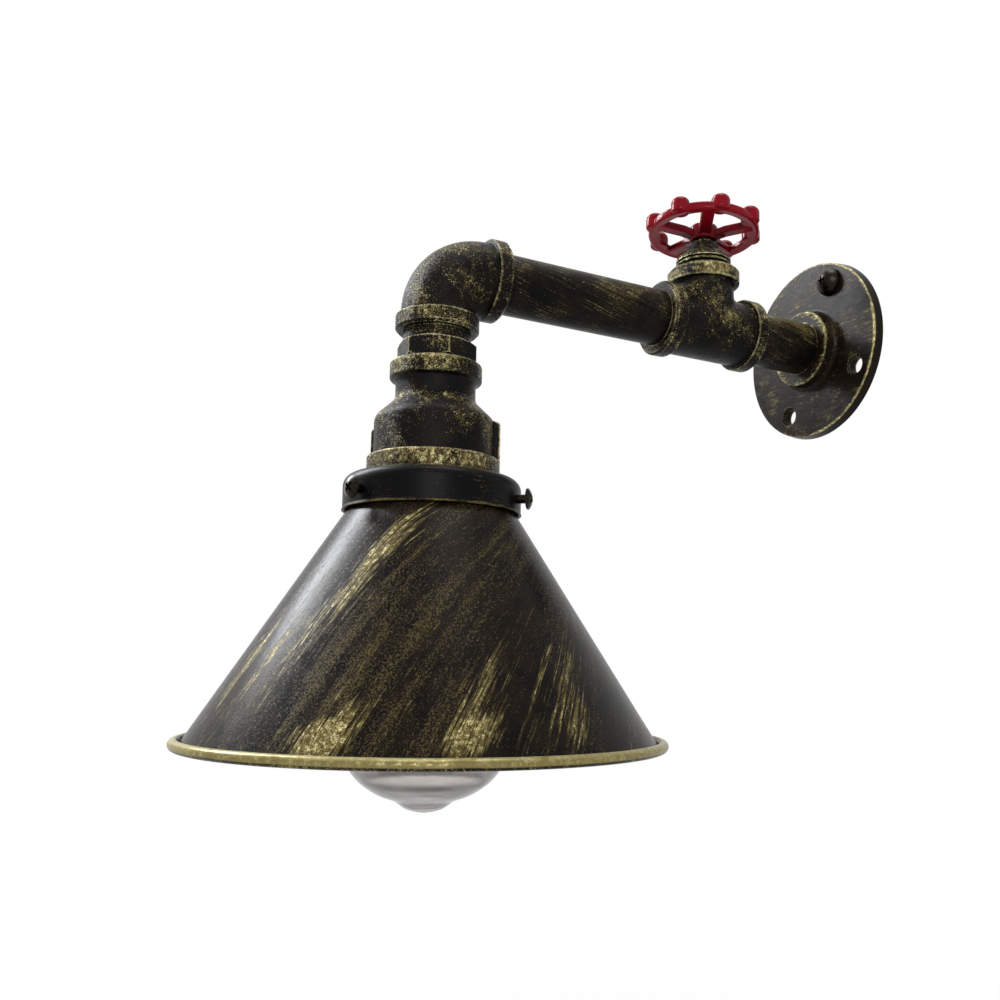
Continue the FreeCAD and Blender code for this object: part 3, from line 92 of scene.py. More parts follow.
# Gold bands of the fittings: axis, where it begins and is full in mm, amount.
# Places are from the axis of the branch (tee) or of the head (elbow and socket).
TEE_BANDS = (
    ("y", (-21.0, -22.5), 0.08),
    ("y", (21.0, 22.5), 0.08),
    ("z", (20.8, 22.0), 0.19),
    ("z", (27.0, 28.6), 0.10),
)
ELBOW_BANDS = (
    ("z", (-20.5, -22.5), 0.06),
    ("z", (-27.0, -28.6), 0.05),
    ("y", (20.5, 22.0), 0.03),
)
SOCKET_BANDS = (
    ("z", (-49.6, -48.6), 0.07),
    ("z", (-46.0, -43.5), 0.14),
    ("z", (-50.0, -51.5), -0.22),
    ("z", (-53.0, -57.0), 0.22),
    ("z", (-56.5, -59.0), 0.10),
    ("z", (-59.5, -64.0), -0.10),
    ("z", (-83.2, -84.2), 0.29),
    ("z", (-90.0, -91.6), 0.06),
)

# Worn or spared zones of the fittings in mm, one of them partly a painted highlight: centre,
# half sizes, amount
TEE_ZONES = (
    ((12, -70, 4), (9, 14, 9), 0.11),
    ((2, -106, -2), (16, 5, 14), 0.10),
    ((8, -52, 6), (12, 6, 12), 0.10),
)
ELBOW_ZONES_AND_HIGHLIGHT = (
    # Partly a painted highlight: more gold where the softbox's light falls on the elbow
    ((9, -236, 6), (15, 16, 18), 0.33),
    ((0, -214, 20), (20, 14, 8), -0.14),
    ((8, -226, -25), (12, 12, 5), 0.12),
)
SOCKET_ZONES = (
    ((18, -196, -74), (10, 12, 14), 0.16),
    ((14, -203, -46), (8, 10, 5), 0.08),
)

# The flange in mm, each where it begins and is full: its front face, the worn edge and
# the side of its rim, and the top of its hub
FLANGE_FRONT_Y = (-4.2, -5.1)
FLANGE_EDGE_R = (45.0, 46.2)
FLANGE_EDGE_X = (-12, 14)
FLANGE_SIDE_R = (46.3, 46.7)
HUB_INNER_R = (15.5, 17.5)
HUB_OUTER_R = (21.5, 19.8)
HUB_TOP_Y = (-9.5, -11.5)

# Pipe: outer radius in mm, and how far its streaks turn along it
PIPE_R = 13.35
STREAK_SLANT = 0.24

# Gallery, and the bulb's dark lines, which are painted reflections, in mm, each where it
# begins and is full
GALLERY_LIP_Z = (-105.9, -106.4)
GALLERY_TOP_Z = (-93.2, -92.4)
GALLERY_TOP_R = (30.0, 33.0)
BULB_REFLECTION_SHOULDER_Z = ((-215.5, -218.5), (-221.0, -219.0))
BULB_REFLECTION_TURN_Z = ((-225.6, -226.4), (-227.6, -226.8))

# The shade: the azimuth that the photograph faces in degrees, the cone in mm, the radius
# on which strokes are laid out, their slant and how it changes round the cone, the rolled
# rim in mm with its painted shade below and painted highlight on top, and how far inward a
# surface faces where its gold ends
FACED = -21.0
CONE_TOP_Z = -105.4
CONE_TOP_R = 34.5
CONE_SPREAD = 0.637
STROKE_R = 65.0
STROKE_SLANT = 0.70
STROKE_SLANT_CHANGE = 0.60
BEAD_R = (96.6, 97.2)
BEAD_SHADE_Z = (-203.3, -202.3)
BEAD_HIGHLIGHT_Z = (-201.3, -200.2)
SHADE_INSIDE = (-0.5, -0.1)

# Dusted middle of the shade, on the layout of its strokes: centre, half sizes, amount
SHADE_MIDDLE = ((58.0, -33.0, -163.0), (54.0, 54.0, 76.0), 0.15)

# Brushed patches of the shade: azimuth, height, half width, half length, strength
SHADE_PATCHES = (
    (-38.5, -121.0, 7.0, 17.0, 0.22),
    (-47.0, -136.0, 5.0, 30.0, 0.20),
    (-27.0, -121.0, 1.8, 12.0, 0.22),
    (-62.0, -171.0, 9.0, 30.0, 0.20),
    (-71.0, -170.0, 3.5, 22.0, 0.21),
    (-82.0, -171.0, 3.5, 18.0, 0.21),
    (-45.0, -195.0, 17.0, 9.0, 0.33),
    (-38.0, -189.0, 9.0, 14.0, 0.18),
    (-56.0, -152.0, 2.6, 26.0, 0.17),
    (-52.0, -166.0, 2.2, 24.0, 0.16),
    (-24.0, -166.0, 1.8, 22.0, 0.15),
    (-3.0, -150.0, 1.8, 22.0, 0.13),
    (-41.0, -173.0, 3.0, 20.0, 0.21),
    (-35.0, -152.0, 3.0, 18.0, 0.20),
    (-13.0, -193.0, 14.0, 10.0, 0.26),
    (-11.0, -180.0, 13.0, 19.0, 0.17),
    (16.5, -190.0, 8.0, 13.0, 0.28),
    (16.0, -178.0, 7.0, 18.0, 0.13),
    (12.0, -170.0, 1.8, 15.0, 0.20),
    (37.0, -125.0, 6.0, 13.0, 0.10),
    (52.0, -186.0, 10.0, 15.0, 0.20),
    (83.0, -150.0, 9.0, 26.0, 0.17),
    (104.0, -193.0, 13.0, 10.0, 0.24),
    (131.0, -133.0, 7.0, 20.0, 0.17),
    (152.0, -186.0, 12.0, 13.0, 0.22),
    (178.0, -160.0, 8.0, 28.0, 0.16),
    (203.0, -194.0, 13.0, 9.0, 0.24),
    (228.0, -125.0, 7.0, 16.0, 0.18),
    (247.0, -178.0, 9.0, 20.0, 0.18),
)


class Numbers:
    """The sums of stroke_turn on plain numbers. Graph has the same ones on sockets."""

    sine = staticmethod(math.sin)
    log = staticmethod(math.log)

    @staticmethod
    def plus(*values):
        return sum(values)

    @staticmethod
    def times(*values):
        return math.prod(values)


class Graph:
    """A material's nodes, from the object's own coordinates to a Principled shader."""

    def __init__(self, name):
        self.material = bpy.data.materials.new(name)
        self.material.use_nodes = True
        self.tree = self.material.node_tree
        self.tree.nodes.clear()
        self.output = self.node("ShaderNodeOutputMaterial")
        self.shader = self.node("ShaderNodeBsdfPrincipled")
        self.tree.links.new(self.shader.outputs[0], self.output.inputs["Surface"])
        place = self.node("ShaderNodeTexCoord")
        scale = self.node("ShaderNodeVectorMath", operation="SCALE")
        self.link(place.outputs["Object"], scale.inputs[0])
        scale.inputs["Scale"].default_value = MM_PER_M
        self.mm = scale.outputs[0]
        self.normal = place.outputs["Normal"]

    def node(self, kind, **settings):
        made = self.tree.nodes.new(kind)
        for key, value in settings.items():
            setattr(made, key, value)
        return made

    def link(self, value, socket):
        if isinstance(value, bpy.types.NodeSocket):
            self.tree.links.new(value, socket)
        else:
            socket.default_value = value

    def calc(self, operation, *values, clamp=False):
        made = self.node("ShaderNodeMath", operation=operation, use_clamp=clamp)
        for value, socket in zip(values, made.inputs):
            self.link(value, socket)
        return made.outputs[0]

    def plus(self, *values):
        total = values[0]
        for value in values[1:]:
            total = self.calc("ADD", total, value)
        return total

    def times(self, *values):
        total = values[0]
        for value in values[1:]:
            total = self.calc("MULTIPLY", total, value)
        return total

    def weighted(self, *pairs):
        """Sum of value times weight."""
        return self.plus(*[self.times(value, weight) for value, weight in pairs])

    def sine(self, value):
        return self.calc("SINE", value)

    def log(self, value):
        return self.calc("LOGARITHM", value, math.e)

    def long(self, x, y):
        """Length of a flat vector."""
        return self.calc("SQRT", self.plus(self.times(x, x), self.times(y, y)))

    def ramp(self, value, span, to=(0.0, 1.0)):
        made = self.node("ShaderNodeMapRange", interpolation_type="SMOOTHSTEP")
        for number, socket in zip((value, *span, *to), made.inputs):
            self.link(number, socket)
        return made.outputs[0]

    def noise(self, vector, scale=1.0, detail=2, roughness=0.5, distortion=0.0):
        made = self.node("ShaderNodeTexNoise")
        self.link(vector, made.inputs["Vector"])
        made.inputs["Scale"].default_value = scale
        made.inputs["Detail"].default_value = detail
        made.inputs["Roughness"].default_value = roughness
        made.inputs["Distortion"].default_value = distortion
        return made.outputs["Fac"]

    def mix(self, factor, first, second):
        """Two colours mixed. The node's sockets 6, 7 and 2 are the ones for colours."""
        made = self.node("ShaderNodeMix", data_type="RGBA")
        self.link(factor, made.inputs["Factor"])
        self.link(first, made.inputs[6])
        self.link(second, made.inputs[7])
        return made.outputs[2]

    def parts(self, vector):
        made = self.node("ShaderNodeSeparateXYZ")
        self.link(vector, made.inputs[0])
        return tuple(made.outputs)

    def joined(self, x, y, z):
        made = self.node("ShaderNodeCombineXYZ")
        for value, socket in zip((x, y, z), made.inputs):
            self.link(value, socket)
        return made.outputs[0]

    def dot(self, vector, direction):
        made = self.node("ShaderNodeVectorMath", operation="DOT_PRODUCT")
        self.link(vector, made.inputs[0])
        self.link(direction, made.inputs[1])
        return made.outputs["Value"]

    def from_axis(self, y):
        """Coordinates in mm from an upright axis that stands at y, in metres."""
        made = self.node("ShaderNodeVectorMath", operation="ADD")
        self.link(self.mm, made.inputs[0])
        made.inputs[1].default_value = (0, -MM_PER_M * y, 0)
        return self.parts(made.outputs[0])

    def stretched(self, vector, scale, turn=(0, 0, 0)):
        """A vector scaled on each axis, and turned by degrees."""
        made = self.node("ShaderNodeMapping")
        self.link(vector, made.inputs["Vector"])
        made.inputs["Rotation"].default_value = [math.radians(angle) for angle in turn]
        made.inputs["Scale"].default_value = scale
        return made.outputs[0]

    def open_share(self, distance, inside=False):
        """1 in the open, falling to 0 in a crevice, or at an edge seen from inside."""
        made = self.node(
            "ShaderNodeAmbientOcclusion", samples=OCCLUSION_SAMPLES,
            inside=inside, only_local=inside,
        )
        made.inputs["Distance"].default_value = distance
        return made.outputs["AO"]

    def bump(self, height, distance):
        made = self.node("ShaderNodeBump")
        made.inputs["Strength"].default_value = 1.0
        made.inputs["Distance"].default_value = distance
        self.link(height, made.inputs["Height"])
        self.link(made.outputs[0], self.shader.inputs["Normal"])

    def set(self, **values):
        """Sets inputs of the shader, named with _ for a space, and gives the material."""
        for key, value in values.items():
            self.link(value, self.shader.inputs[key.replace("_", " ")])
        return self.material


def head_polar(graph):
    """Angle, radius and height round the head's axis, in radians and mm."""
    x, y, z = graph.from_axis(HEAD_Y)
    return graph.calc("ARCTAN2", y, x), graph.long(x, y), z


def finish_paint(
    graph, gold, grain, lift=0.00012, rough=0.27, brown=(0.35, 0.7), wear_and_highlight=0.0, even=0.0,
):
    """Black paint under gold, whose 0 to 1 cover makes it thin, full or pale."""
    cloud = graph.noise(graph.mm, scale=0.09, detail=3)
    base = graph.mix(graph.ramp(cloud, brown), BLACK_PAINT, BROWN_PAINT)
    tone = graph.weighted(
        (graph.noise(graph.mm, scale=1.9, detail=4, roughness=0.7), 0.6),
        (graph.noise(graph.mm, scale=0.5, detail=2), 0.4),
    )
    full = graph.times(graph.ramp(gold, (0.2, 0.9)), graph.ramp(tone, (0.40, 0.56)))
    # wear_and_highlight turns gold pale: a painted highlight on worn edges and on the shade's
    # rolled rim
    bright = graph.calc("ADD", graph.ramp(tone, (0.50, 0.62)), wear_and_highlight, clamp=True)
    pale = graph.times(bright, graph.ramp(gold, (0.5, 1.0)))
    sheen = graph.mix(pale, graph.mix(full, THIN_GOLD, GOLD), PALE_GOLD)
    sheen = graph.mix(even, sheen, EVEN_GOLD)
    graph.bump(graph.plus(grain, graph.times(gold, GOLD_RELIEF)), lift)
    graph.shader.inputs["Specular IOR Level"].default_value = PAINT_SPECULAR
    return graph.set(
        Base_Color=graph.mix(graph.ramp(gold, (0.0, 0.45)), base, sheen),
        Metallic=graph.times(gold, GOLD_METALLIC),
        Roughness=graph.ramp(gold, (0, 1), to=(rough, rough + GOLD_ROUGHER)),
    )


def cover(graph, grain, field, softness=0.055, reach=0.42):
    """Where the dry brush left gold: more of the grain's peaks as the field rises."""
    lift = graph.times(graph.calc("SUBTRACT", field, NOISE_MIDDLE), reach)
    span = (NOISE_MIDDLE - softness, NOISE_MIDDLE + softness)
    return graph.ramp(graph.plus(grain, lift), span)


def blob(graph, place, centre, halves, strength):
    """An ellipsoid of the given strength that fades to nothing near its surface."""
    made = graph.node("ShaderNodeVectorMath", operation="MULTIPLY_ADD")
    graph.link(place, made.inputs[0])
    made.inputs[1].default_value = [1 / half for half in halves]
    made.inputs[2].default_value = [-c / half for c, half in zip(centre, halves)]
    size = graph.node("ShaderNodeVectorMath", operation="LENGTH")
    graph.link(made.outputs[0], size.inputs[0])
    return graph.ramp(size.outputs["Value"], (0.25, 1.25), to=(strength, 0.0))


def brushed(
    name, base=0.22, zones=(), bands=None, lean=(0, 35, 0), strokes=0.35, edges=0.42,
    lift=0.00022, brown=(0.35, 0.7), softness=0.05, body=0.8,
):
    """Cast iron: rough, with gold speckle and strokes on edges, bands and zones."""
    graph = Graph(name)
    pits = graph.noise(graph.mm, scale=1.6, detail=4, roughness=0.70)
    lumps = graph.noise(graph.mm, scale=0.28)
    slanted = graph.stretched(graph.mm, (0.14, 1.4, 1.4), lean)
    drag = graph.noise(slanted, detail=5, roughness=0.65)
    grain = graph.weighted((pits, 1 - strokes), (drag, strokes))
    patch = graph.noise(graph.mm, scale=0.07, detail=3, roughness=0.55, distortion=0.5)
    blotch = graph.noise(graph.mm, scale=0.40, detail=3, roughness=0.6)
    # Convex edges get more gold from the dry brush, and their pale gold is a painted highlight
    convex = graph.calc("SUBTRACT", 1.0, graph.open_share(EDGE_REACH, inside=True))
    wear_and_highlight = graph.ramp(convex, (0.04, 0.40))
    marked = bands(graph) if bands else 0.0
    field = graph.plus(
        base,
        graph.ramp(patch, (0.35, 0.65), to=(-0.14, 0.14)),
        graph.ramp(blotch, (0.34, 0.66), to=(-0.09, 0.08)),
        graph.times(graph.dot(graph.normal, UPPER_FRONT), UPPER_FRONT_GOLD),
        *[blob(graph, graph.mm, *zone) for zone in zones],
        marked,
        graph.times(wear_and_highlight, edges),
        # Gold gone in crevices: the dry brush misses them, and the darker crevice is also
        # painted shade
        graph.ramp(graph.open_share(CREVICE_SHADE_REACH), CREVICE_SHADE_CLOSED, to=(-0.5, 0.0)),
    )
    full = graph.plus(marked, graph.times(wear_and_highlight, 0.4))
    thick = graph.ramp(full, (0.02, 0.20), to=(body, 1.0))
    gold = graph.times(cover(graph, grain, field, softness), thick)
    relief = graph.plus(pits, graph.times(lumps, 1.6))
    return finish_paint(
        graph, gold, relief, lift, brown=brown, wear_and_highlight=graph.times(wear_and_highlight, 0.7),
    )


def fitting_bands(graph, axis_y, bands):
    """Sum of the gold bands of a fitting."""
    along = dict(zip("xyz", graph.from_axis(axis_y)))
    return graph.plus(
        *[graph.ramp(along[axis], span, to=(0.0, amount)) for axis, span, amount in bands]
    )


def tee_bands(graph):
    return fitting_bands(graph, VALVE_Y, TEE_BANDS)


def elbow_bands(graph):
    return fitting_bands(graph, HEAD_Y, ELBOW_BANDS)


def socket_bands(graph):
    return fitting_bands(graph, HEAD_Y, SOCKET_BANDS)


def flange_bands(graph):
    x, y, z = graph.parts(graph.mm)
    radius = graph.long(x, z)
    front = graph.ramp(y, FLANGE_FRONT_Y)
    edge = graph.times(
        graph.ramp(radius, FLANGE_EDGE_R, to=(0.0, 0.42)),
        graph.times(front, graph.ramp(x, FLANGE_EDGE_X)),
    )
    side = graph.times(
        graph.ramp(radius, FLANGE_SIDE_R, to=(0.0, -0.5)), graph.calc("SUBTRACT", 1.0, front),
    )
    hub = graph.times(
        graph.ramp(radius, HUB_INNER_R, to=(0.0, 0.12)),
        graph.ramp(radius, HUB_OUTER_R),
        graph.ramp(y, HUB_TOP_Y),
    )
    return graph.plus(edge, side, hub)


def pipe_paint(name, base):
    """Drawn pipe: smooth, with fine slanting streaks and a dusting of gold."""
    graph = Graph(name)
    x, y, z = graph.parts(graph.mm)
    around = graph.times(graph.calc("ARCTAN2", z, x), PIPE_R)
    across = graph.plus(around, graph.times(y, STREAK_SLANT))
    lines = graph.joined(graph.times(across, 2.4), graph.times(y, 0.045), 0.0)
    streaks = graph.noise(lines, detail=5, roughness=0.65)
    dust = graph.noise(graph.mm, scale=1.3, detail=5, roughness=0.7)
    grain = graph.weighted((streaks, 0.62), (dust, 0.38))
    patch = graph.noise(graph.mm, scale=0.055, detail=3, distortion=0.4)
    field = graph.plus(
        base,
        graph.ramp(patch, (0.35, 0.65), to=(-0.06, 0.12)),
        graph.ramp(z, (-10, 12), to=(-0.06, 0.08)),
        # Gold gone in crevices: the dry brush misses them, and the darker crevice is also
        # painted shade
        graph.ramp(graph.open_share(CREVICE_SHADE_REACH), CREVICE_SHADE_CLOSED, to=(-0.4, 0.0)),
    )
    gold = cover(graph, grain, field, softness=0.09)
    return finish_paint(graph, gold, graph.times(dust, 0.4), rough=0.30)


def stroke_turn(sums, azimuth, radius):
    """Azimuth at which the brush stroke through a place on the shade meets STROKE_R."""
    from_faced = sums.plus(azimuth, math.radians(-FACED))
    slant = sums.plus(STROKE_SLANT, sums.times(STROKE_SLANT_CHANGE, sums.sine(from_faced)))
    run = sums.log(sums.times(radius, 1 / STROKE_R))
    return sums.plus(azimuth, sums.times(slant, 1 / CONE_SPREAD, run))


def brushed_patches(graph, place):
    """The strongest of the shade's brushed patches at each place of the layout."""
    strongest = None
    for azimuth, height, wide, tall, strength in SHADE_PATCHES:
        radius = CONE_TOP_R + CONE_SPREAD * (CONE_TOP_Z - height)
        turn = stroke_turn(Numbers, math.radians(azimuth), radius)
        centre = (STROKE_R * math.cos(turn), STROKE_R * math.sin(turn), height)
        patch = blob(graph, place, centre, (wide, wide, tall), strength)
        strongest = patch if strongest is None else graph.calc("MAXIMUM", strongest, patch)
    return strongest


def shade_paint(name):
    """Spun sheet: straight slanting strokes, dry patches and a fine dusting between."""
    graph = Graph(name)
    angle, radius, z = head_polar(graph)
    turn = stroke_turn(graph, angle, radius)
    place = graph.joined(
        graph.times(graph.calc("COSINE", turn), STROKE_R),
        graph.times(graph.sine(turn), STROKE_R),
        z,
    )
    bristles = graph.noise(
        graph.stretched(place, (1.15, 1.15, 0.05)), detail=4, roughness=0.62,
    )
    sweep = graph.noise(
        graph.stretched(place, (0.07, 0.07, 0.018)), detail=3, roughness=0.55, distortion=0.3,
    )
    flecks = graph.noise(graph.stretched(place, (1.3, 1.3, 0.24)), detail=4, roughness=0.68)
    dust = graph.noise(graph.mm, scale=1.5, detail=4, roughness=0.66)
    cloud = graph.noise(graph.stretched(place, (0.13, 0.13, 0.022)), detail=3, roughness=0.6)
    smudge = graph.noise(graph.mm, scale=0.10, detail=3, roughness=0.6)

    stroked = graph.weighted((bristles, 0.48), (flecks, 0.36), (dust, 0.16))
    strokes = graph.plus(
        0.24, graph.ramp(sweep, (0.38, 0.66), to=(-0.06, 0.12)), brushed_patches(graph, place),
    )
    brushed_on = cover(graph, stroked, strokes, softness=0.10, reach=0.62)

    fine = graph.weighted((dust, 0.70), (flecks, 0.18), (bristles, 0.12))
    dusting = graph.plus(
        0.29,
        blob(graph, place, *SHADE_MIDDLE),
        graph.ramp(cloud, (0.36, 0.64), to=(-0.09, 0.09)),
    )
    dusted = graph.times(cover(graph, fine, dusting, softness=0.05), 0.40)

    # The rolled rim: its gold fades out below, a painted shade, and turns pale on top, a
    # painted highlight
    rolled = graph.ramp(radius, BEAD_R)
    bead = graph.times(
        rolled, graph.ramp(z, BEAD_SHADE_Z), graph.ramp(smudge, (0.30, 0.50), to=(0.45, 1.0)),
    )
    gold = graph.calc("MAXIMUM", graph.calc("MAXIMUM", brushed_on, dusted), bead, clamp=True)
    outward = graph.joined(graph.calc("COSINE", angle), graph.sine(angle), 0.0)
    outside = graph.ramp(graph.dot(graph.normal, outward), SHADE_INSIDE)
    return finish_paint(
        graph,
        graph.times(gold, outside),
        graph.times(dust, graph.ramp(rolled, (0.0, 1.0), to=(0.25, 0.05))),
        brown=(0.3, 0.6),
        wear_and_highlight=graph.times(rolled, graph.ramp(z, BEAD_HIGHLIGHT_Z, to=(0.0, 0.45))),
        even=graph.times(rolled, 0.7),
    )


def gallery_paint(name):
    """Spun cap: nearly black, with ring scratches and gold on its lip and shoulder, the
    shoulder's gold partly a painted highlight.
    """
    graph = Graph(name)
    angle, radius, z = head_polar(graph)
    unrolled = graph.joined(graph.times(angle, 5.0), graph.times(z, 1.6), 0.0)
    rings = graph.noise(unrolled, detail=4, roughness=0.6)
    dust = graph.noise(graph.mm, scale=1.4, detail=5, roughness=0.7)
    grain = graph.weighted((dust, 0.5), (rings, 0.5))
    # Gold on the top shoulder, partly a painted highlight along its edge
    shoulder_gold_and_highlight = graph.times(
        graph.ramp(z, GALLERY_TOP_Z, to=(0.0, 0.34)), graph.ramp(radius, GALLERY_TOP_R),
    )
    patch = graph.noise(graph.mm, scale=0.06)
    field = graph.plus(
        0.19,
        graph.ramp(patch, (0.4, 0.7), to=(-0.05, 0.12)),
        graph.ramp(z, GALLERY_LIP_Z, to=(0.0, 0.34)),
        shoulder_gold_and_highlight,
    )
    gold = graph.times(cover(graph, grain, field, softness=0.08), 0.5)
    return finish_paint(graph, gold, graph.times(grain, 0.3), rough=0.36, brown=(0.6, 0.9))


def enamel(name):
    """Glossy red, darker in the corners of the wheel: painted shade."""
    graph = Graph(name)
    open_share = graph.open_share(ENAMEL_SHADE_REACH)
    # Painted shade: the red darkens where the wheel's corners close in
    colour = graph.mix(graph.ramp(open_share, (0.40, 0.92)), SHADED_RED, RED)
    graph.bump(graph.noise(graph.mm, scale=0.5), 0.0002)
    graph.shader.inputs["Specular IOR Level"].default_value = ENAMEL_SPECULAR
    graph.shader.inputs["Coat Weight"].default_value = ENAMEL_COAT
    graph.shader.inputs["Coat Roughness"].default_value = ENAMEL_COAT_ROUGHNESS
    smear = graph.noise(graph.mm, scale=0.7)
    return graph.set(
        Base_Color=colour,
        Roughness=graph.ramp(smear, (0.2, 0.8), to=(0.14, 0.22)),
    )


def plain_metal(name, dark, light, rough):
    """Bare metal, slightly clouded."""
    graph = Graph(name)
    cloud = graph.noise(graph.mm, scale=0.8, detail=3, roughness=0.6)
    graph.bump(graph.noise(graph.mm, scale=4.0), 0.00004)
    graph.shader.inputs["Metallic"].default_value = 1.0
    return graph.set(
        Base_Color=graph.mix(graph.ramp(cloud, (0.3, 0.7)), dark, light),
        Roughness=graph.ramp(cloud, (0.2, 0.8), to=(rough, rough + 0.12)),
    )


def moulded(name, dark, light, rough=0.45):
    """Plastic, ceramic or insulation, slightly clouded."""
    graph = Graph(name)
    cloud = graph.noise(graph.mm, scale=0.5, detail=3)
    graph.bump(graph.noise(graph.mm, scale=3.0), 0.00005)
    return graph.set(
        Base_Color=graph.mix(cloud, dark, light),
        Roughness=graph.ramp(cloud, (0.2, 0.8), to=(rough, rough + 0.1)),
    )


def reflection_line(graph, z, spans):
    """1 between two heights, fading over each span."""
    return graph.times(*[graph.ramp(z, span) for span in spans])


def clear_glass(name):
    """Clear glass that greys towards its outline and in two rings: painted reflections of a
    dark room and shade.
    """
    graph = Graph(name)
    smear = graph.noise(graph.stretched(graph.mm, (0.05, 0.05, 0.12)))
    graph.bump(smear, 0.0001)
    rim = graph.node("ShaderNodeLayerWeight")
    rim.inputs["Blend"].default_value = REFLECTION_EDGE_BLEND
    graph.shader.inputs["Transmission Weight"].default_value = 1.0
    graph.shader.inputs["IOR"].default_value = GLASS_IOR
    graph.shader.inputs["Specular IOR Level"].default_value = GLASS_SPECULAR
    z = graph.parts(graph.mm)[2]
    lines = graph.calc(
        "MAXIMUM", reflection_line(graph, z, BULB_REFLECTION_SHOULDER_Z), reflection_line(graph, z, BULB_REFLECTION_TURN_Z),
    )
    lines = graph.times(lines, graph.ramp(smear, (0.3, 0.6), to=(0.35, 0.8)))
    # Painted reflections: dark towards the outline and in two rings
    edge = graph.calc("MAXIMUM", graph.ramp(rim.outputs["Facing"], (0.30, 0.75)), lines)
    # Grey all over, a painted reflection, varied by smears
    reflection_tint = graph.mix(graph.ramp(smear, (0.35, 0.65)), REFLECTION_GREY_SMEARED, REFLECTION_GREY_CLEAN)
    return graph.set(Base_Color=graph.mix(edge, reflection_tint, REFLECTION_DARK_EDGE), Roughness=0.0)


def dress(material, *names):
    for name in names:
        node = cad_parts[name]
        node.data.materials.clear()
        node.data.materials.append(material)


dress(brushed("tee_paint", bands=tee_bands, zones=TEE_ZONES), "tee")
dress(brushed("elbow_paint", bands=elbow_bands, zones=ELBOW_ZONES_AND_HIGHLIGHT, strokes=0.2), "elbow")
dress(
    brushed("socket_paint", base=0.21, bands=socket_bands, zones=SOCKET_ZONES, strokes=0.25),
    "reducing_socket",
)
dress(brushed("hex_paint", base=0.20, edges=0.40), "hex_nipple")
dress(
    brushed("bonnet_paint", base=0.28, strokes=0.15, edges=0.30),
    "valve_bonnet", "bonnet_ring",
)
dress(brushed("nut_paint", base=0.12, strokes=0.15, edges=0.20), "packing_nut")
dress(
    brushed(
        "flange_paint", base=0.23, bands=flange_bands, lean=(0, -38, 0), strokes=0.70,
        lift=0.00007, brown=(0.15, 0.5), softness=0.09, body=0.46,
    ),
    "wall_flange",
)
dress(pipe_paint("pipe_paint", base=0.25), "arm_pipe")
dress(pipe_paint("nipple_paint", base=0.31), "flange_nipple")
dress(shade_paint("shade_paint"), "shade")
dress(gallery_paint("gallery_paint"), "gallery")
dress(enamel("red_enamel"), "handwheel")
dress(
    plain_metal("dark_bronze", (0.012, 0.010, 0.008, 1), (0.022, 0.018, 0.013, 1), 0.22),
    "fixing_screw", "gallery_screw_1", "gallery_screw_2", "gallery_screw_3",
)
dress(
    plain_metal("brass", (0.62, 0.46, 0.16, 1), (0.80, 0.66, 0.32, 1), 0.25),
    "valve_stem", "switch_bush", "switch_terminal_in", "switch_terminal_out",
    "switch_wiper", "holder_shell", "holder_contact", "live_screw", "neutral_screw",
    "earth_tag", "bulb_cap", "bulb_contact",
)
dress(
    plain_metal("zinc_steel", (0.42, 0.42, 0.43, 1), (0.62, 0.62, 0.63, 1), 0.3),
    "support_plug", "threaded_tube", "tube_locknut", "wheel_grub_screw",
    "bulb_lead_live", "bulb_lead_neutral", "bulb_filament", "bulb_support_top",
    "bulb_support_bottom",
)
dress(
    moulded("black_plastic", (0.012, 0.012, 0.012, 1), (0.03, 0.03, 0.03, 1)),
    "switch_body", "switch_cover", "switch_rotor", "holder_cap", "holder_body",
    "shade_ring",
)
dress(
    moulded("white_ceramic", (0.78, 0.76, 0.70, 1), (0.86, 0.84, 0.79, 1), 0.2),
    "holder_insert",
)
dress(
    moulded("brown_wire", (0.22, 0.09, 0.04, 1), (0.3, 0.13, 0.06, 1)),
    "wire_live_in", "wire_live_out", "head_wire_live",
)
dress(
    moulded("blue_wire", (0.04, 0.12, 0.45, 1), (0.06, 0.17, 0.6, 1)),
    "wire_neutral", "head_wire_neutral",
)
dress(
    moulded("green_wire", (0.1, 0.4, 0.05, 1), (0.5, 0.5, 0.05, 1)),
    "wire_earth", "head_wire_earth",
)
dress(clear_glass("clear_glass"), "bulb_glass", "bulb_stem")
dress(
    moulded("black_glass", (0.01, 0.01, 0.012, 1), (0.02, 0.02, 0.024, 1), 0.1),
    "bulb_insulator",
)


def make_camera():
    """The photograph's camera, rolled about the way it looks."""
    azimuth, pitch, roll = CAMERA_AZIMUTH, CAMERA_PITCH, CAMERA_ROLL
    forward = Vector((
        -math.sin(azimuth) * math.cos(pitch),
        math.cos(azimuth) * math.cos(pitch),
        math.sin(pitch),
    ))
    level = Vector((math.cos(azimuth), math.sin(azimuth), 0))
    upright = level.cross(forward)
    right = math.cos(roll) * level + math.sin(roll) * upright
    up = -math.sin(roll) * level + math.cos(roll) * upright
    data = bpy.data.cameras.new("photo_camera")
    data.lens = CAMERA_LENS
    data.sensor_width = CAMERA_SENSOR
    data.shift_x, data.shift_y = CAMERA_SHIFT
    camera = bpy.data.objects.new("photo_camera", data)
    rows = [(right[i], up[i], -forward[i], CAMERA_PLACE[i]) for i in range(3)]
    camera.matrix_world = Matrix(rows + [(0, 0, 0, 1)])
    bpy.context.collection.objects.link(camera)
    bpy.context.scene.camera = camera


